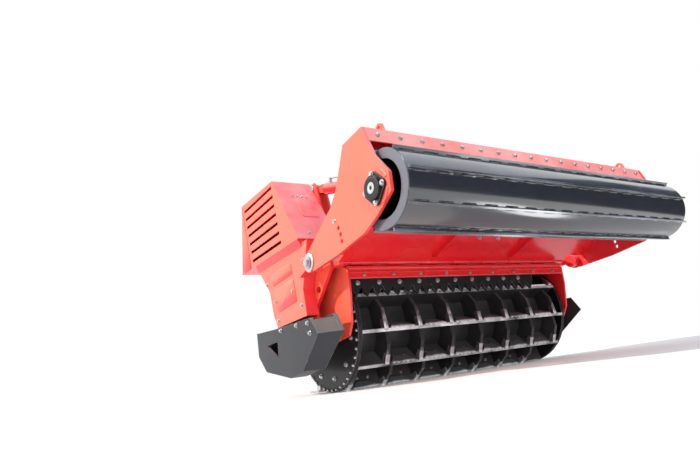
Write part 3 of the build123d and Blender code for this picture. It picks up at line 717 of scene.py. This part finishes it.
def weld_beads(name, runs, body):
    """Raised weld beads along straight runs, in one piece."""
    size = sizes().weld / 2
    beads = []
    for start, end in runs:
        along = end - start
        long = along.length
        profile = [(size * 0.5, 0), (size, size), (size, long - size), (size * 0.5, long)]
        beads.append(turned(profile, 8, facing(start, along)))
    return settle(merge(beads), name, "red_paint", body, 60)


def pipe(name, points, body):
    """A rigid oil pipe bent through its points."""
    deselect()
    bpy.ops.curve.primitive_bezier_curve_add()
    obj = bpy.context.object
    spline = obj.data.splines[0]
    spline.bezier_points.add(len(points) - 2)
    for knot, point in zip(spline.bezier_points, points):
        knot.co = point
        knot.handle_left_type = "AUTO"
        knot.handle_right_type = "AUTO"
    obj.data.bevel_depth = sizes().pipe / 2
    obj.data.bevel_resolution = 3
    obj.data.resolution_u = 6
    obj.data.use_fill_caps = True
    bpy.ops.object.convert(target="MESH")
    return settle(bpy.context.object, name, "bare_steel", body, 60)


# ---- the frame's own parts
class TILLER_OT_finish_frame(bpy.types.Operator):
    """Gives every part of the frame its finish"""

    bl_idname = "tiller.finish_frame"
    bl_label = "Finish the frame"

    def execute(self, context):
        for part in frame["record"]["subparts"]:
            materials = frame["nodes"][part["node"]].data.materials
            kind = part["node"].rsplit("_", 1)[0]
            materials.clear()
            materials.append(finish(SPECIAL_FINISH.get(kind) or NODE_FINISH[part["material_slot"]]))
        return {"FINISHED"}


# ---- the gear casings and the skids
CASE_X = COVER_X - 0.030
CASE_CORNER = 0.018
CASE_BOLTS = (
    (0.415, 0.418), (-0.020, 0.282), (0.290, 0.261), (-0.135, 0.162), (0.270, 0.120), (-0.223, 0.452),
)
CASE_PLATES = (
    ((0.308, 0.351), (0.257, 0.176), (-0.066, 0.203), (-0.043, 0.369)),
    ((0.336, 0.481), (0.307, 0.383), (-0.040, 0.401), (-0.022, 0.489)),
)
SKID_BOLTS = ((0.184, 0.037), (-0.077, 0.036), (-0.245, 0.028), (-0.265, -0.038))


class TILLER_OT_casings(bpy.types.Operator):
    """Adds the inspection plates and the bolts of the gear casings and skids"""

    bl_idname = "tiller.casings"
    bl_label = "Casings and skids"

    def execute(self, context):
        plates = []
        for _, s in SIDES:
            for outline in CASE_PLATES:
                plates.append(plate(outline, side_face(CASE_X, s), THIN_PLATE, CASE_CORNER))
        settle_plates(plates, EASED_EDGE, "casing_plates", "casing_paint", "housing")
        bolt_rows("casing_bolts", sizes().large_bolt, on_sides(CASE_X, CASE_BOLTS), "housing")
        bolt_rows("skid_bolts", sizes().large_bolt, on_sides(COVER_X, SKID_BOLTS), "housing")
        return {"FINISHED"}


# ---- the louvred covers
LOUVRES = 7
LOWEST_LOUVRE = {"forward": 0.318, "up": 0.654, "long": 0.575}
TOP_LOUVRE = {"forward": 0.404, "up": 1.104, "long": 0.590}
LIP_PROFILE = ((-0.001, -0.015), (-0.001, -0.010), (-0.032, 0.008), (-0.032, 0.003))
FOLD_THICK = 0.003
COVER_FOLD = ((0.740, 1.168), (0.850, 0.602), (0.640, 0.602))
COVER_FOOT = (-0.245, 0.600)
COVER_SLOPE = (0.336, 0.550)
HATCH_CORNER = 0.022
HATCH = ((1.178, 0.235), (1.036, 0.235), (1.022, 0.442), (1.182, 0.442))
HATCH_BOLTS = ((1.185, 0.474), (1.145, 0.474), (1.105, 0.474), (1.065, 0.474), (1.192, 0.062))


class TILLER_OT_covers(bpy.types.Operator):
    """Adds the louvre lips, the folded panel and the inspection plate of each louvred cover"""

    bl_idname = "tiller.covers"
    bl_label = "Louvred covers"

    def execute(self, context):
        lips = []
        for _, s in SIDES:
            for share in [louvre / (LOUVRES - 1) for louvre in range(LOUVRES)]:
                spot = {key: low + (TOP_LOUVRE[key] - low) * share for key, low in LOWEST_LOUVRE.items()}
                profile = [(COVER_X + u, spot["up"] + v) for u, v in LIP_PROFILE]
                lips.append(plate(profile, section(s, spot["forward"] - spot["long"] / 2), spot["long"]))
        settle(merge(lips), "louvre_lips", "casing_paint", "housing")
        folds = [plate(COVER_FOLD, side_face(COVER_X, s), FOLD_THICK) for _, s in SIDES]
        settle_plates(folds, 0.001, "cover_folds", "casing_paint", "housing")
        slope = facing(at(0, *COVER_FOOT), (0, -COVER_SLOPE[1], COVER_SLOPE[0]))
        hatches = []
        for _, s in SIDES:
            hatches.append(plate([(s * x, v) for x, v in HATCH], slope, THIN_PLATE, HATCH_CORNER))
        settle_plates(hatches, EASED_EDGE, "cover_hatches", "casing_paint", "housing")
        places = [slope @ Matrix.Translation((s * x, v, 0)) for _, s in SIDES for x, v in HATCH_BOLTS]
        bolt_rows("cover_bolts", sizes().small_bolt, places, "housing")
        return {"FINISHED"}


# ---- the hood's arms
ARM_BOLT = (-0.820, 0.528)
FLANGE_X = ARM_X + 0.016
BEARING_BOLTS_R = 0.076
NUT_SUNK = 0.002
CLAMP_THICK = 0.005
CLAMP_RADII = (0.094, 0.109)
CLAMP_TURNS = ((128, 166), (196, 244))
PIVOT_WASHER = ((0.058, 0), (0.060, 0.003), (0.060, 0.007), (0.056, 0.009), (0.031, 0.009))
BEARING_COLLAR = ((0.0655, 0), (0.0655, 0.016), (0.062, 0.0185), (0.0555, 0.0185))
SHAFT_NUT = ((0.0335, 0), (0.0335, 0.0012), (0.026, 0.0018), (0.012, 0.0018), (0.010, 0.0010))


def arc_strip(radii, turns, middle, steps=10):
    """The outline of a curved strip between two radii and two angles in degrees."""
    angles = [radians(turns[0] + (turns[1] - turns[0]) * i / steps) for i in range(steps + 1)]
    inner = [(radii[0] * cos(a), radii[0] * sin(a)) for a in reversed(angles)]
    outer = [(radii[1] * cos(a), radii[1] * sin(a)) for a in angles]
    return [(middle[0] + u, middle[1] + v) for u, v in outer + inner]


class TILLER_OT_arms(bpy.types.Operator):
    """Adds the pivot bolts, the setting bolts and the roller's bearings on the hood arms"""

    bl_idname = "tiller.arms"
    bl_label = "Hood arms"

    def execute(self, context):
        places = on_sides(ARM_X, [HOOD_PIVOT])
        turned_set("pivot_washers", PIVOT_WASHER, 32, places, "zinc_plate", "hood")
        bolt_rows("pivot_bolts", sizes().pivot_bolt, on_sides(PIN_END, [HOOD_PIVOT]), "hood", tall=0.28)
        bolt_rows("setting_bolts", sizes().large_bolt, on_sides(ARM_X, [ARM_BOLT]), "hood")
        places = on_sides(FLANGE_X, circle(4, BEARING_BOLTS_R, ROLLER_AT))
        bolt_rows("bearing_bolts", sizes().bearing_bolt, places, "hood", tall=0.3)
        places = on_sides(FLANGE_X, [ROLLER_AT])
        turned_set("bearing_collars", BEARING_COLLAR, 36, places, "comb_paint", "hood")
        places = on_sides(BEARING_X - NUT_SUNK, [ROLLER_AT])
        turned_set("shaft_nuts", SHAFT_NUT, 24, places, "zinc_plate", "roller")
        clamps = []
        for _, s in SIDES:
            for turns in CLAMP_TURNS:
                outline = arc_strip(CLAMP_RADII, turns, ROLLER_AT)
                clamps.append(plate(outline, side_face(ARM_X, s), CLAMP_THICK))
        settle_plates(clamps, EASED_EDGE, "bearing_clamps", "casing_paint", "hood")
        return {"FINISHED"}


# ---- the beam over the roller
BEAM_FACE = (-1.2215, 0.8975)
BEAM_OUT = (0, -0.945, 0.328)
BEAM_BOLTS = row(17, -1.250, 0.15625)


class TILLER_OT_crossbeam(bpy.types.Operator):
    """Adds the row of bolts on the beam over the roller"""

    bl_idname = "tiller.crossbeam"
    bl_label = "Crossbeam"

    def execute(self, context):
        places = [facing(at(x, *BEAM_FACE), BEAM_OUT) for x in BEAM_BOLTS]
        bolt_rows("crossbeam_bolts", sizes().large_bolt, places, "hood")
        return {"FINISHED"}


# ---- the hood
HOOD_TOP = (-0.466, 0.388)
HOOD_SLOPE = Vector((0, -0.414, 0.172)).normalized()
HOOD_UNDER = -Vector((0, HOOD_SLOPE.z, -HOOD_SLOPE.y))
HOOD_LONG = 0.448
HOOD_BOLTS = ((-0.10, 0.62), (0.02, 0.70), (0.09, 0.62), (0.21, 0.70))
BOLTS_UNDER = 0.006
HOOD_RIBS = (-0.390, 0.390)
RIB_HALF = 0.005
WELDS_UNDER = 0.007
WELD_RUN = (0.05, 0.44)
HINGE_SLEEVE = ((0.0185, 0), (0.0225, 0.002), (0.0225, 0.148), (0.0185, 0.150))
HINGE_SLEEVES = row(7, -1.050, 0.300)


class TILLER_OT_hood(bpy.types.Operator):
    """Adds the hinge sleeves, the bolts and the weld beads under the hood"""

    bl_idname = "tiller.hood"
    bl_label = "Hood"

    def execute(self, context):
        places = [facing(at(x, *HOOD_PIVOT), (1, 0, 0)) for x in HINGE_SLEEVES]
        turned_set("hinge_sleeves", HINGE_SLEEVE, 20, places, "red_paint", "hood")
        top = at(0, *HOOD_TOP)
        places = []
        for x, share in HOOD_BOLTS:
            point = top + HOOD_SLOPE * (HOOD_LONG * share) + Vector((x, 0, 0)) + HOOD_UNDER * BOLTS_UNDER
            places.append(facing(point, HOOD_UNDER))
        bolt_rows("hood_bolts", sizes().large_bolt, places, "hood")
        runs = []
        for x in HOOD_RIBS:
            for side in (-RIB_HALF, RIB_HALF):
                base = top + Vector((x + side, 0, 0)) + HOOD_UNDER * WELDS_UNDER
                runs.append([base + HOOD_SLOPE * reached for reached in WELD_RUN])
        weld_beads("hood_welds", runs, "hood")
        return {"FINISHED"}


# ---- the rear beam and the comb
BEAM_LIPS = (
    ((-0.470, 0.266), (-0.479, 0.263), (-0.481, 0.270), (-0.470, 0.281)),
    ((-0.470, 0.302), (-0.476, 0.304), (-0.476, 0.310), (-0.470, 0.312)),
)
LIP_GAP = 0.002
REAR_ROWS = (
    ("beam_bolts", "small_bolt", row(9, -0.96, 0.24), (-0.470, 0.291)),
    ("comb_bolts", "large_bolt", row(10, -1.018, 0.1705), (-0.466, 0.238)),
)


class TILLER_OT_rear_beam(bpy.types.Operator):
    """Adds the lips and the bolts of the rear beam, and the bolts of the comb"""

    bl_idname = "tiller.rear_beam"
    bl_label = "Rear beam and comb"

    def execute(self, context):
        start = Matrix.Translation((-INNER_X + LIP_GAP, 0, 0)) @ side_face(0, 1)
        lips = [plate(profile, start, 2 * (INNER_X - LIP_GAP)) for profile in BEAM_LIPS]
        settle_plates(lips, 0.002, "beam_lips", "red_paint", "housing")
        for name, size, across, spot in REAR_ROWS:
            places = [facing(at(x, *spot), (0, -1, 0)) for x in across]
            bolt_rows(name, getattr(sizes(), size), places, "housing")
        return {"FINISHED"}


# ---- the roller
RIBS = 8
RIB_PHASE = radians(36.6)
RIB_WELD_AT = 0.0095
ROLLER_R = 0.215
WELD_R = ROLLER_R + 0.001
STITCH = ((0.003, 0), (0.0058, 0.006), (0.0058, 0.089), (0.003, 0.095))
STITCHES = row(16, -1.262, 0.1615)
END_RING = ((0.213, 0), (0.213, 0.003), (0.211, 0.005), (0.160, 0.005), (0.157, 0.002), (0.157, 0))


class TILLER_OT_roller(bpy.types.Operator):
    """Adds the stitch welds beside the ribs and the rings on the ends of the roller"""

    bl_idname = "tiller.roller"
    bl_label = "Roller"

    def execute(self, context):
        places = []
        for rib in range(RIBS):
            for side in (-1, 1):
                turn = RIB_PHASE + rib * 2 * pi / RIBS + side * RIB_WELD_AT / ROLLER_R
                spot = (ROLLER_AT[0] + WELD_R * cos(turn), ROLLER_AT[1] + WELD_R * sin(turn))
                places += [facing(at(x, *spot), (1, 0, 0)) for x in STITCHES]
        turned_set("rib_welds", STITCH, 6, places, "roller_paint", "roller")
        places = on_sides(ROLLER_HALF, [ROLLER_AT])
        # The end rings take the roller black painted lighter as a painted sky reflection.
        turned_set("roller_rings", END_RING, 64, places, "sky_sheen_ring_paint", "roller")
        return {"FINISHED"}


# ---- the rotor
ROTOR_ROWS = 11
ROW_STEP = 2 * pi / ROTOR_ROWS
ROW_BASE = 1.5 * pi - ROW_STEP / 2
ROW_SHIFTS = (0.05, 0.76, 0.64, 0.87, 0.36, 0.11, 0.71, 0.43, 0.94, 0.22, 0.53)
STATIONS = 7
STATION_PITCH = 2 * DRUM_HALF / STATIONS
TIP_R = 0.450
TIP_WIDE = 0.034
TIP_OUTLINE = ((0.4495, 0.000), (0.4310, -0.062), (0.398, -0.060), (0.402, 0.014), (0.431, 0.026))
TIP_CLEAR = 0.014
BLADE_CLEAR = 0.130
BLADE_TILT = radians(35)
BLADE_HALF = 0.100
BLADE_DEEP = 0.050
BLADE_BACK = (-0.078, 0.025)
BLADE_TEETH = 5
TOOTH_DEEP = 0.009
TOOTH_PEAK = 0.35
BLADE_LIFT = 0.0026
BLADE_THICK = 0.0025
BLADE_FACE = Matrix.Translation((
    0, TIP_R - BLADE_THICK - BLADE_LIFT * sin(BLADE_TILT), BLADE_LIFT * cos(BLADE_TILT),
)) @ Matrix.Rotation(BLADE_TILT, 4, "X")
BLADE_BOLTS = (-0.045, 0.045)
BLADE_BOLTS_R = 0.372
BLADE_BOLTS_AHEAD = 0.003
STUD = ((0.010, 0), (0.010, 0.006), (0.006, 0.011))
STUDS = circle(44, 0.417)
DISC_BOLTS = circle(11, 0.345)


def rotor_places():
    """Where the ring plates' tips and the blades stand: (x, turn) lists."""
    rings, blades = [], []
    for number, shift in enumerate(ROW_SHIFTS):
        turn = ROW_BASE - number * ROW_STEP
        for station in range(STATIONS):
            x = -DRUM_HALF + (station + shift) * STATION_PITCH
            if abs(x) < DRUM_HALF - TIP_CLEAR:
                rings.append((x, turn))
            if abs(x + STATION_PITCH / 2) < DRUM_HALF - BLADE_CLEAR:
                blades.append((x + STATION_PITCH / 2, turn))
    return rings, blades


def spokes(turn):
    """The directions outwards and along the turn, at an angle round the rotor."""
    return Vector((0, cos(turn), sin(turn))), Vector((0, -sin(turn), cos(turn)))


def spin_place(x, turn):
    """A place on the rotor's axis: y is radial and z is along the turn at that angle."""
    axes = Matrix((Vector((1, 0, 0)), *spokes(turn))).transposed().to_4x4()
    return Matrix.Translation(at(x, 0, 0)) @ axes


def blade_outline():
    """The ground face of a serrated blade; v = 0 is the cutting edge."""
    pitch = 2 * BLADE_HALF / BLADE_TEETH
    edge = [(BLADE_BACK[0], -BLADE_DEEP), (-BLADE_HALF, -TOOTH_DEEP)]
    for tooth in range(BLADE_TEETH):
        edge.append((-BLADE_HALF + (tooth + TOOTH_PEAK) * pitch, 0))
        edge.append((-BLADE_HALF + (tooth + 1) * pitch, -TOOTH_DEEP))
    return edge + [(BLADE_BACK[1], -BLADE_DEEP)]


class TILLER_OT_rotor(bpy.types.Operator):
    """Adds the hard tips, the blade faces and bolts, and the studs and bolts of the discs"""

    bl_idname = "tiller.rotor"
    bl_label = "Rotor tools"

    def execute(self, context):
        rings, blades = rotor_places()
        across_x = Matrix(((0, 0, 1), (1, 0, 0), (0, 1, 0))).to_4x4()
        tip = round_edges(plate(TIP_OUTLINE, HOME, TIP_WIDE), 0.002, 1)
        places = []
        for x, turn in rings:
            roll = Matrix.Rotation(turn, 4, "X")
            places.append(Matrix.Translation(at(x - TIP_WIDE / 2, 0, 0)) @ roll @ across_x)
        settle(set_out(tip, places), "rotor_tips", "bare_steel", "rotor")
        face = plate(blade_outline(), BLADE_FACE, BLADE_THICK)
        places = [spin_place(x, turn) for x, turn in blades]
        settle(set_out(face, places), "blade_faces", "bright_steel", "rotor")
        places = []
        for x, turn in blades:
            out, ahead = spokes(turn)
            for shift in BLADE_BOLTS:
                seat = at(x + shift, 0, 0) + out * BLADE_BOLTS_R + ahead * BLADE_BOLTS_AHEAD
                places.append(facing(seat, -ahead))
        bolt_rows("blade_bolts", sizes().small_bolt, places, "rotor", "bare_steel")
        turned_set("rim_studs", STUD, 8, on_sides(DISC_X, STUDS), "bare_steel", "rotor")
        bolt_rows("disc_bolts", sizes().large_bolt, on_sides(DISC_X, DISC_BOLTS), "rotor", "bare_steel")
        return {"FINISHED"}


# ---- the lift cylinders
GLAND_AT = 0.899
GLAND = ((0.051, 0), (0.054, 0.003), (0.054, 0.012), (0.047, 0.016), (0.024, 0.016))
FITTING = (
    (0.017, 0.040), (0.017, 0.052), (0.012, 0.054), (0.012, 0.068), (0.015, 0.070), (0.015, 0.082),
)
FITTINGS_AT = (0.205, 0.815)
PIPE_LINE = ((0.815, 0.076), (0.760, 0.080), (0.500, 0.072), (0.260, 0.080), (0.205, 0.076))
PIN_HEAD = ((0.026, 0), (0.030, 0.003), (0.030, 0.010), (0.026, 0.013))
PIN_HALF = 0.046


class TILLER_OT_cylinders(bpy.types.Operator):
    """Adds the pins, the glands, the fittings and the rigid pipes of the lift cylinders"""

    bl_idname = "tiller.cylinders"
    bl_label = "Lift cylinders"

    def execute(self, context):
        along = Vector((0, ROD_EYE[0] - BASE_EYE[0], ROD_EYE[1] - BASE_EYE[1])).normalized()
        over = Vector((0, along.z, -along.y))
        for side, s in SIDES:
            barrel = f"barrel_{side}"
            base = at(s * CYLINDER_X, *BASE_EYE)
            gland = turned(GLAND, 32, facing(base + along * GLAND_AT, along))
            settle(gland, f"cylinder_gland_{side}", "bare_steel", barrel)
            fittings = [turned(FITTING, 6, facing(base + along * mouth, over)) for mouth in FITTINGS_AT]
            settle(merge(fittings), f"cylinder_fittings_{side}", "zinc_plate", barrel)
            line = [base + along * reached + over * off for reached, off in PIPE_LINE]
            pipe(f"cylinder_pipe_{side}", line, barrel)
            for name, eye, body in (("base_pins", BASE_EYE, "housing"), ("rod_pins", ROD_EYE, "hood")):
                places = [facing(at(s * CYLINDER_X + PIN_HALF * t, *eye), (t, 0, 0)) for t in (-1, 1)]
                turned_set(f"{name}_{side}", PIN_HEAD, 24, places, "zinc_plate", body)
        return {"FINISHED"}


# ---- the drive
TUBE_AT = (0.390, 0.785)
TUBE_LONG = 0.750
FLANGE = ((0.120, 0), (0.120, 0.014), (0.116, 0.018), (0.072, 0.018))
FLANGE_THICK = 0.018
FLANGE_BOLTS = circle(8, 0.099, TUBE_AT)
LID_OUTLINE = ((-0.180, -0.165), (0.180, -0.165), (0.180, 0.165), (-0.180, 0.165))
LID_AT = (0.355, 0.885)
LID_THICK = 0.012
LID_BOLTS_X = (-0.160, -0.053, 0.053, 0.160)
LID_BOLTS_Y = (0.208, 0.502)
GUARD = ((0.098, 0), (0.104, 0.004), (0.100, 0.085), (0.097, 0.085), (0.099, 0.006), (0.060, 0.006))
GUARD_AT = (0.600, 0.610)


class TILLER_OT_drive(bpy.types.Operator):
    """Adds the flanges, the bolts and the shaft guard of the drive"""

    bl_idname = "tiller.drive"
    bl_label = "Drive"

    def execute(self, context):
        near = on_sides(TUBE_X, [TUBE_AT])
        far = [facing(at(s * (TUBE_X + TUBE_LONG), *TUBE_AT), (-s, 0, 0)) for _, s in SIDES]
        turned_set("tube_flanges", FLANGE, 40, near + far, "casing_paint", "housing")
        places = []
        for _, s in SIDES:
            for spot in FLANGE_BOLTS:
                places.append(facing(at(s * (TUBE_X + FLANGE_THICK), *spot), (s, 0, 0)))
                places.append(facing(at(s * (TUBE_X + TUBE_LONG - FLANGE_THICK), *spot), (-s, 0, 0)))
        bolt_rows("flange_bolts", sizes().small_bolt, places, "housing")
        lid = plate(LID_OUTLINE, facing(at(0, *LID_AT), (0, 0, 1)), LID_THICK)
        settle_plates([lid], 0.003, "gearbox_lid", "casing_paint", "housing")
        top = LID_AT[1] + LID_THICK
        places = [facing(at(x, y, top), (0, 0, 1)) for x in LID_BOLTS_X for y in LID_BOLTS_Y]
        bolt_rows("lid_bolts", sizes().small_bolt, places, "housing")
        guard = turned(GUARD, 40, facing(at(0, *GUARD_AT), (0, 1, 0)))
        settle(guard, "shaft_guard", "comb_paint", "housing")
        return {"FINISHED"}


# ---- the hitch and the stands
LINK_PIN = (0.850, 0.060)
CLEVIS_ENDS = ((0.435, -1), (0.575, 1))
LINK_COLLAR = ((0.036, 0), (0.036, 0.006), (0.033, 0.009), (0.0195, 0.009), (0.0195, 0))
FRONT_FACE = 0.622
CLEVIS_WELDS = ((0.435, 0.475, 0.535, 0.575), (FRONT_FACE, 0.205), (FRONT_FACE, 0.378))
MAST_WELDS = ((0.200, 0.240), (FRONT_FACE, 0.216), (FRONT_FACE, 0.378))
POST_WELDS = ((0.882, 0.897, 0.959, 0.974), (-0.125, 0.519), (0.135, 0.519))
STAND_PIN = ((0.018, 0), (0.021, 0.003), (0.021, 0.009), (0.017, 0.011))
STAND_X = 0.780
STAND_PIN_HALF = 0.053
STAND_EYE = (0.665, 0.130)


class TILLER_OT_hitch(bpy.types.Operator):
    """Adds the collars of the hitch, the weld beads of mast, clevises and posts, and the stands' pins"""

    bl_idname = "tiller.hitch"
    bl_label = "Hitch"

    def execute(self, context):
        places = [facing(at(s * x, *LINK_PIN), (s * t, 0, 0)) for _, s in SIDES for x, t in CLEVIS_ENDS]
        turned_set("hitch_collars", LINK_COLLAR, 28, places, "red_paint", "housing")
        runs = []
        for _, s in SIDES:
            for across, start, end in (CLEVIS_WELDS, MAST_WELDS, POST_WELDS):
                runs += [(at(s * x, *start), at(s * x, *end)) for x in across]
        weld_beads("hitch_welds", runs, "housing")
        places = []
        for _, s in SIDES:
            for t in (-1, 1):
                places.append(facing(at(s * (STAND_X + STAND_PIN_HALF * t), *STAND_EYE), (s * t, 0, 0)))
        turned_set("stand_pins", STAND_PIN, 20, places, "zinc_plate", "housing")
        return {"FINISHED"}


# ---- the stage
FLOOR_SIZE = 120
FLOOR_LOW = -0.001
BAND_R = 5.5
BAND_TALL = 4.6
BAND_START = -1.3
BAND_COLOUR = (0.02, 0.022, 0.025)
PATCH_R = 0.5
PATCH_AT = (0.85, -1.85, 0.004)
PATCH_GLOW = 5.0
SKY_COLOUR = (0.86, 0.92, 1.0)
SKY_STRENGTH = 0.62
SUNS = (
    ("key_sun", (-0.78, 0.32, 0.54), 3.8, 2, (1.0, 0.94, 0.86)),
    ("back_sun", (-0.30, -0.8, 0.42), 1.2, 40, (1.0, 1.0, 1.0)),
    ("low_sun", (-0.10, -0.95, 0.06), 0.7, 16, (1.0, 0.97, 0.92)),
)


class TILLER_OT_stage(bpy.types.Operator):
    """Adds the floor, the soft light and the camera"""

    bl_idname = "tiller.stage"
    bl_label = "Stage"

    def execute(self, context):
        self.add_floor()
        self.add_band()
        self.add_patch()
        self.add_sky()
        for sun in SUNS:
            self.add_sun(*sun)
        self.add_camera(context)
        return {"FINISHED"}

    def add_floor(self):
        """A pale floor that the machine stands on."""
        deselect()
        bpy.ops.mesh.primitive_plane_add(size=FLOOR_SIZE, location=(0, 0, FLOOR_LOW))
        floor = bpy.context.object
        floor.name = "floor"
        apply_place(floor)
        floor.data.materials.append(finish("floor_finish"))

    def add_band(self):
        """A dark band behind the machine that only gloss sees, as trees round a yard would be."""
        deselect()
        bpy.ops.mesh.primitive_cylinder_add(vertices=64, radius=BAND_R, depth=BAND_TALL,
                                            end_fill_type="NOTHING", location=(0, 0, BAND_TALL / 2))
        band = bpy.context.object
        open_mesh()
        bpy.ops.mesh.bisect(plane_co=(0, BAND_START, 0), plane_no=(0, 1, 0), clear_outer=True)
        bpy.ops.object.mode_set(mode="OBJECT")
        material, tree, shader = new_material("band_finish")
        feed(tree, shader, Base_Color=BAND_COLOUR, Specular_IOR_Level=0.0, Roughness=1.0)
        self.show_to_gloss(band, "horizon_band", material)

    def add_patch(self):
        """A bright patch of ground that only gloss sees: it draws the soft streak on the roller."""
        deselect()
        bpy.ops.mesh.primitive_circle_add(vertices=32, radius=PATCH_R, fill_type="NGON",
                                          location=PATCH_AT)
        patch = bpy.context.object
        material, tree, shader = new_material("patch_finish")
        feed(tree, shader, Emission_Color=WHITE, Emission_Strength=PATCH_GLOW)
        self.show_to_gloss(patch, "bright_patch", material)

    def show_to_gloss(self, obj, name, material):
        """Names a piece of the stage and shows it to reflections alone."""
        obj.name = name
        apply_place(obj)
        obj.data.materials.append(material)
        obj.visible_camera = False
        obj.visible_diffuse = False
        obj.visible_shadow = False
        obj.visible_transmission = False

    def add_sky(self):
        """A soft pale sky that shows plain white behind the machine."""
        world = bpy.data.worlds.new("soft_sky")
        bpy.context.scene.world = world
        world.use_nodes = True
        tree = world.node_tree
        sky = feed(tree, tree.nodes["Background"], Color=SKY_COLOUR, Strength=SKY_STRENGTH)
        white = add_node(tree, "Background", Color=WHITE)
        choose = add_node(tree, "MixShader")
        tree.links.new(backdrop_rays(tree)[0], choose.inputs[0])
        tree.links.new(sky.outputs[0], choose.inputs[1])
        tree.links.new(white.outputs[0], choose.inputs[2])
        feed(tree, tree.nodes["World Output"], Surface=choose.outputs[0])

    def add_sun(self, name, toward, strength, spread, colour):
        """A lamp far off in one direction, its spread in degrees."""
        bpy.ops.object.light_add(type="SUN")
        sun = bpy.context.object
        sun.name = name
        sun.data.energy = strength
        sun.data.angle = radians(spread)
        sun.data.color = colour
        sun.rotation_mode = "QUATERNION"
        sun.rotation_quaternion = Vector(toward).to_track_quat("Z", "Y")

    def add_camera(self, context):
        """The camera, turned by its heading, its rise and its roll."""
        view = context.scene.tiller_view
        right = Vector((cos(view.heading), -sin(view.heading), 0))
        level = Vector((sin(view.heading), cos(view.heading), 0))
        ahead = level * cos(view.rise) + Vector((0, 0, sin(view.rise)))
        up = right.cross(ahead)
        rolled_right = right * cos(view.roll) + up * sin(view.roll)
        rolled_up = up * cos(view.roll) - right * sin(view.roll)
        bpy.ops.object.camera_add()
        camera = bpy.context.object
        camera.name = "camera"
        turn = Matrix((rolled_right, rolled_up, -ahead)).transposed().to_4x4()
        camera.matrix_world = Matrix.Translation(ROTOR_AXIS + Vector(view.place)) @ turn
        camera.data.lens = view.lens
        camera.data.sensor_width = 36.0
        camera.data.clip_start = 0.01
        camera.data.clip_end = 500
        context.scene.camera = camera
        context.scene.view_settings.view_transform = "Standard"


# ---- the add-on
OPERATORS = [
    TILLER_OT_finish_frame, TILLER_OT_casings, TILLER_OT_covers, TILLER_OT_arms, TILLER_OT_crossbeam,
    TILLER_OT_hood, TILLER_OT_rear_beam, TILLER_OT_roller, TILLER_OT_rotor, TILLER_OT_cylinders,
    TILLER_OT_drive, TILLER_OT_hitch, TILLER_OT_stage,
]


class TILLER_PT_tiller(bpy.types.Panel):
    """Lists what can be changed and the pieces of the tiller"""

    bl_idname = "TILLER_PT_tiller"
    bl_label = "Rotary Tiller"
    bl_space_type = "VIEW_3D"
    bl_region_type = "UI"
    bl_category = "Tiller"

    def draw(self, context):
        scene = context.scene
        for group in (scene.tiller_colours, scene.tiller_sizes, scene.tiller_view):
            box = self.layout.box()
            for name in group.bl_rna.properties.keys():
                if name not in ("rna_type", "name"):
                    box.prop(group, name)
        for operator in OPERATORS:
            self.layout.operator(operator.bl_idname)


CLASSES = [TillerColours, TillerSizes, TillerView, *OPERATORS, TILLER_PT_tiller]


def register():
    """Registers the classes and hangs the three groups of properties on the scene."""
    for cls in CLASSES:
        bpy.utils.register_class(cls)
    bpy.types.Scene.tiller_colours = bpy.props.PointerProperty(type=TillerColours)
    bpy.types.Scene.tiller_sizes = bpy.props.PointerProperty(type=TillerSizes)
    bpy.types.Scene.tiller_view = bpy.props.PointerProperty(type=TillerView)


def unregister():
    """Takes the properties and the classes away again."""
    del bpy.types.Scene.tiller_view
    del bpy.types.Scene.tiller_sizes
    del bpy.types.Scene.tiller_colours
    for cls in reversed(CLASSES):
        bpy.utils.unregister_class(cls)


def main():
    """Registers the add-on and makes every piece in order."""
    register()
    for operator in OPERATORS:
        group, name = operator.bl_idname.split(".")
        getattr(getattr(bpy.ops, group), name)()


if __name__ == "__main__":
    main()
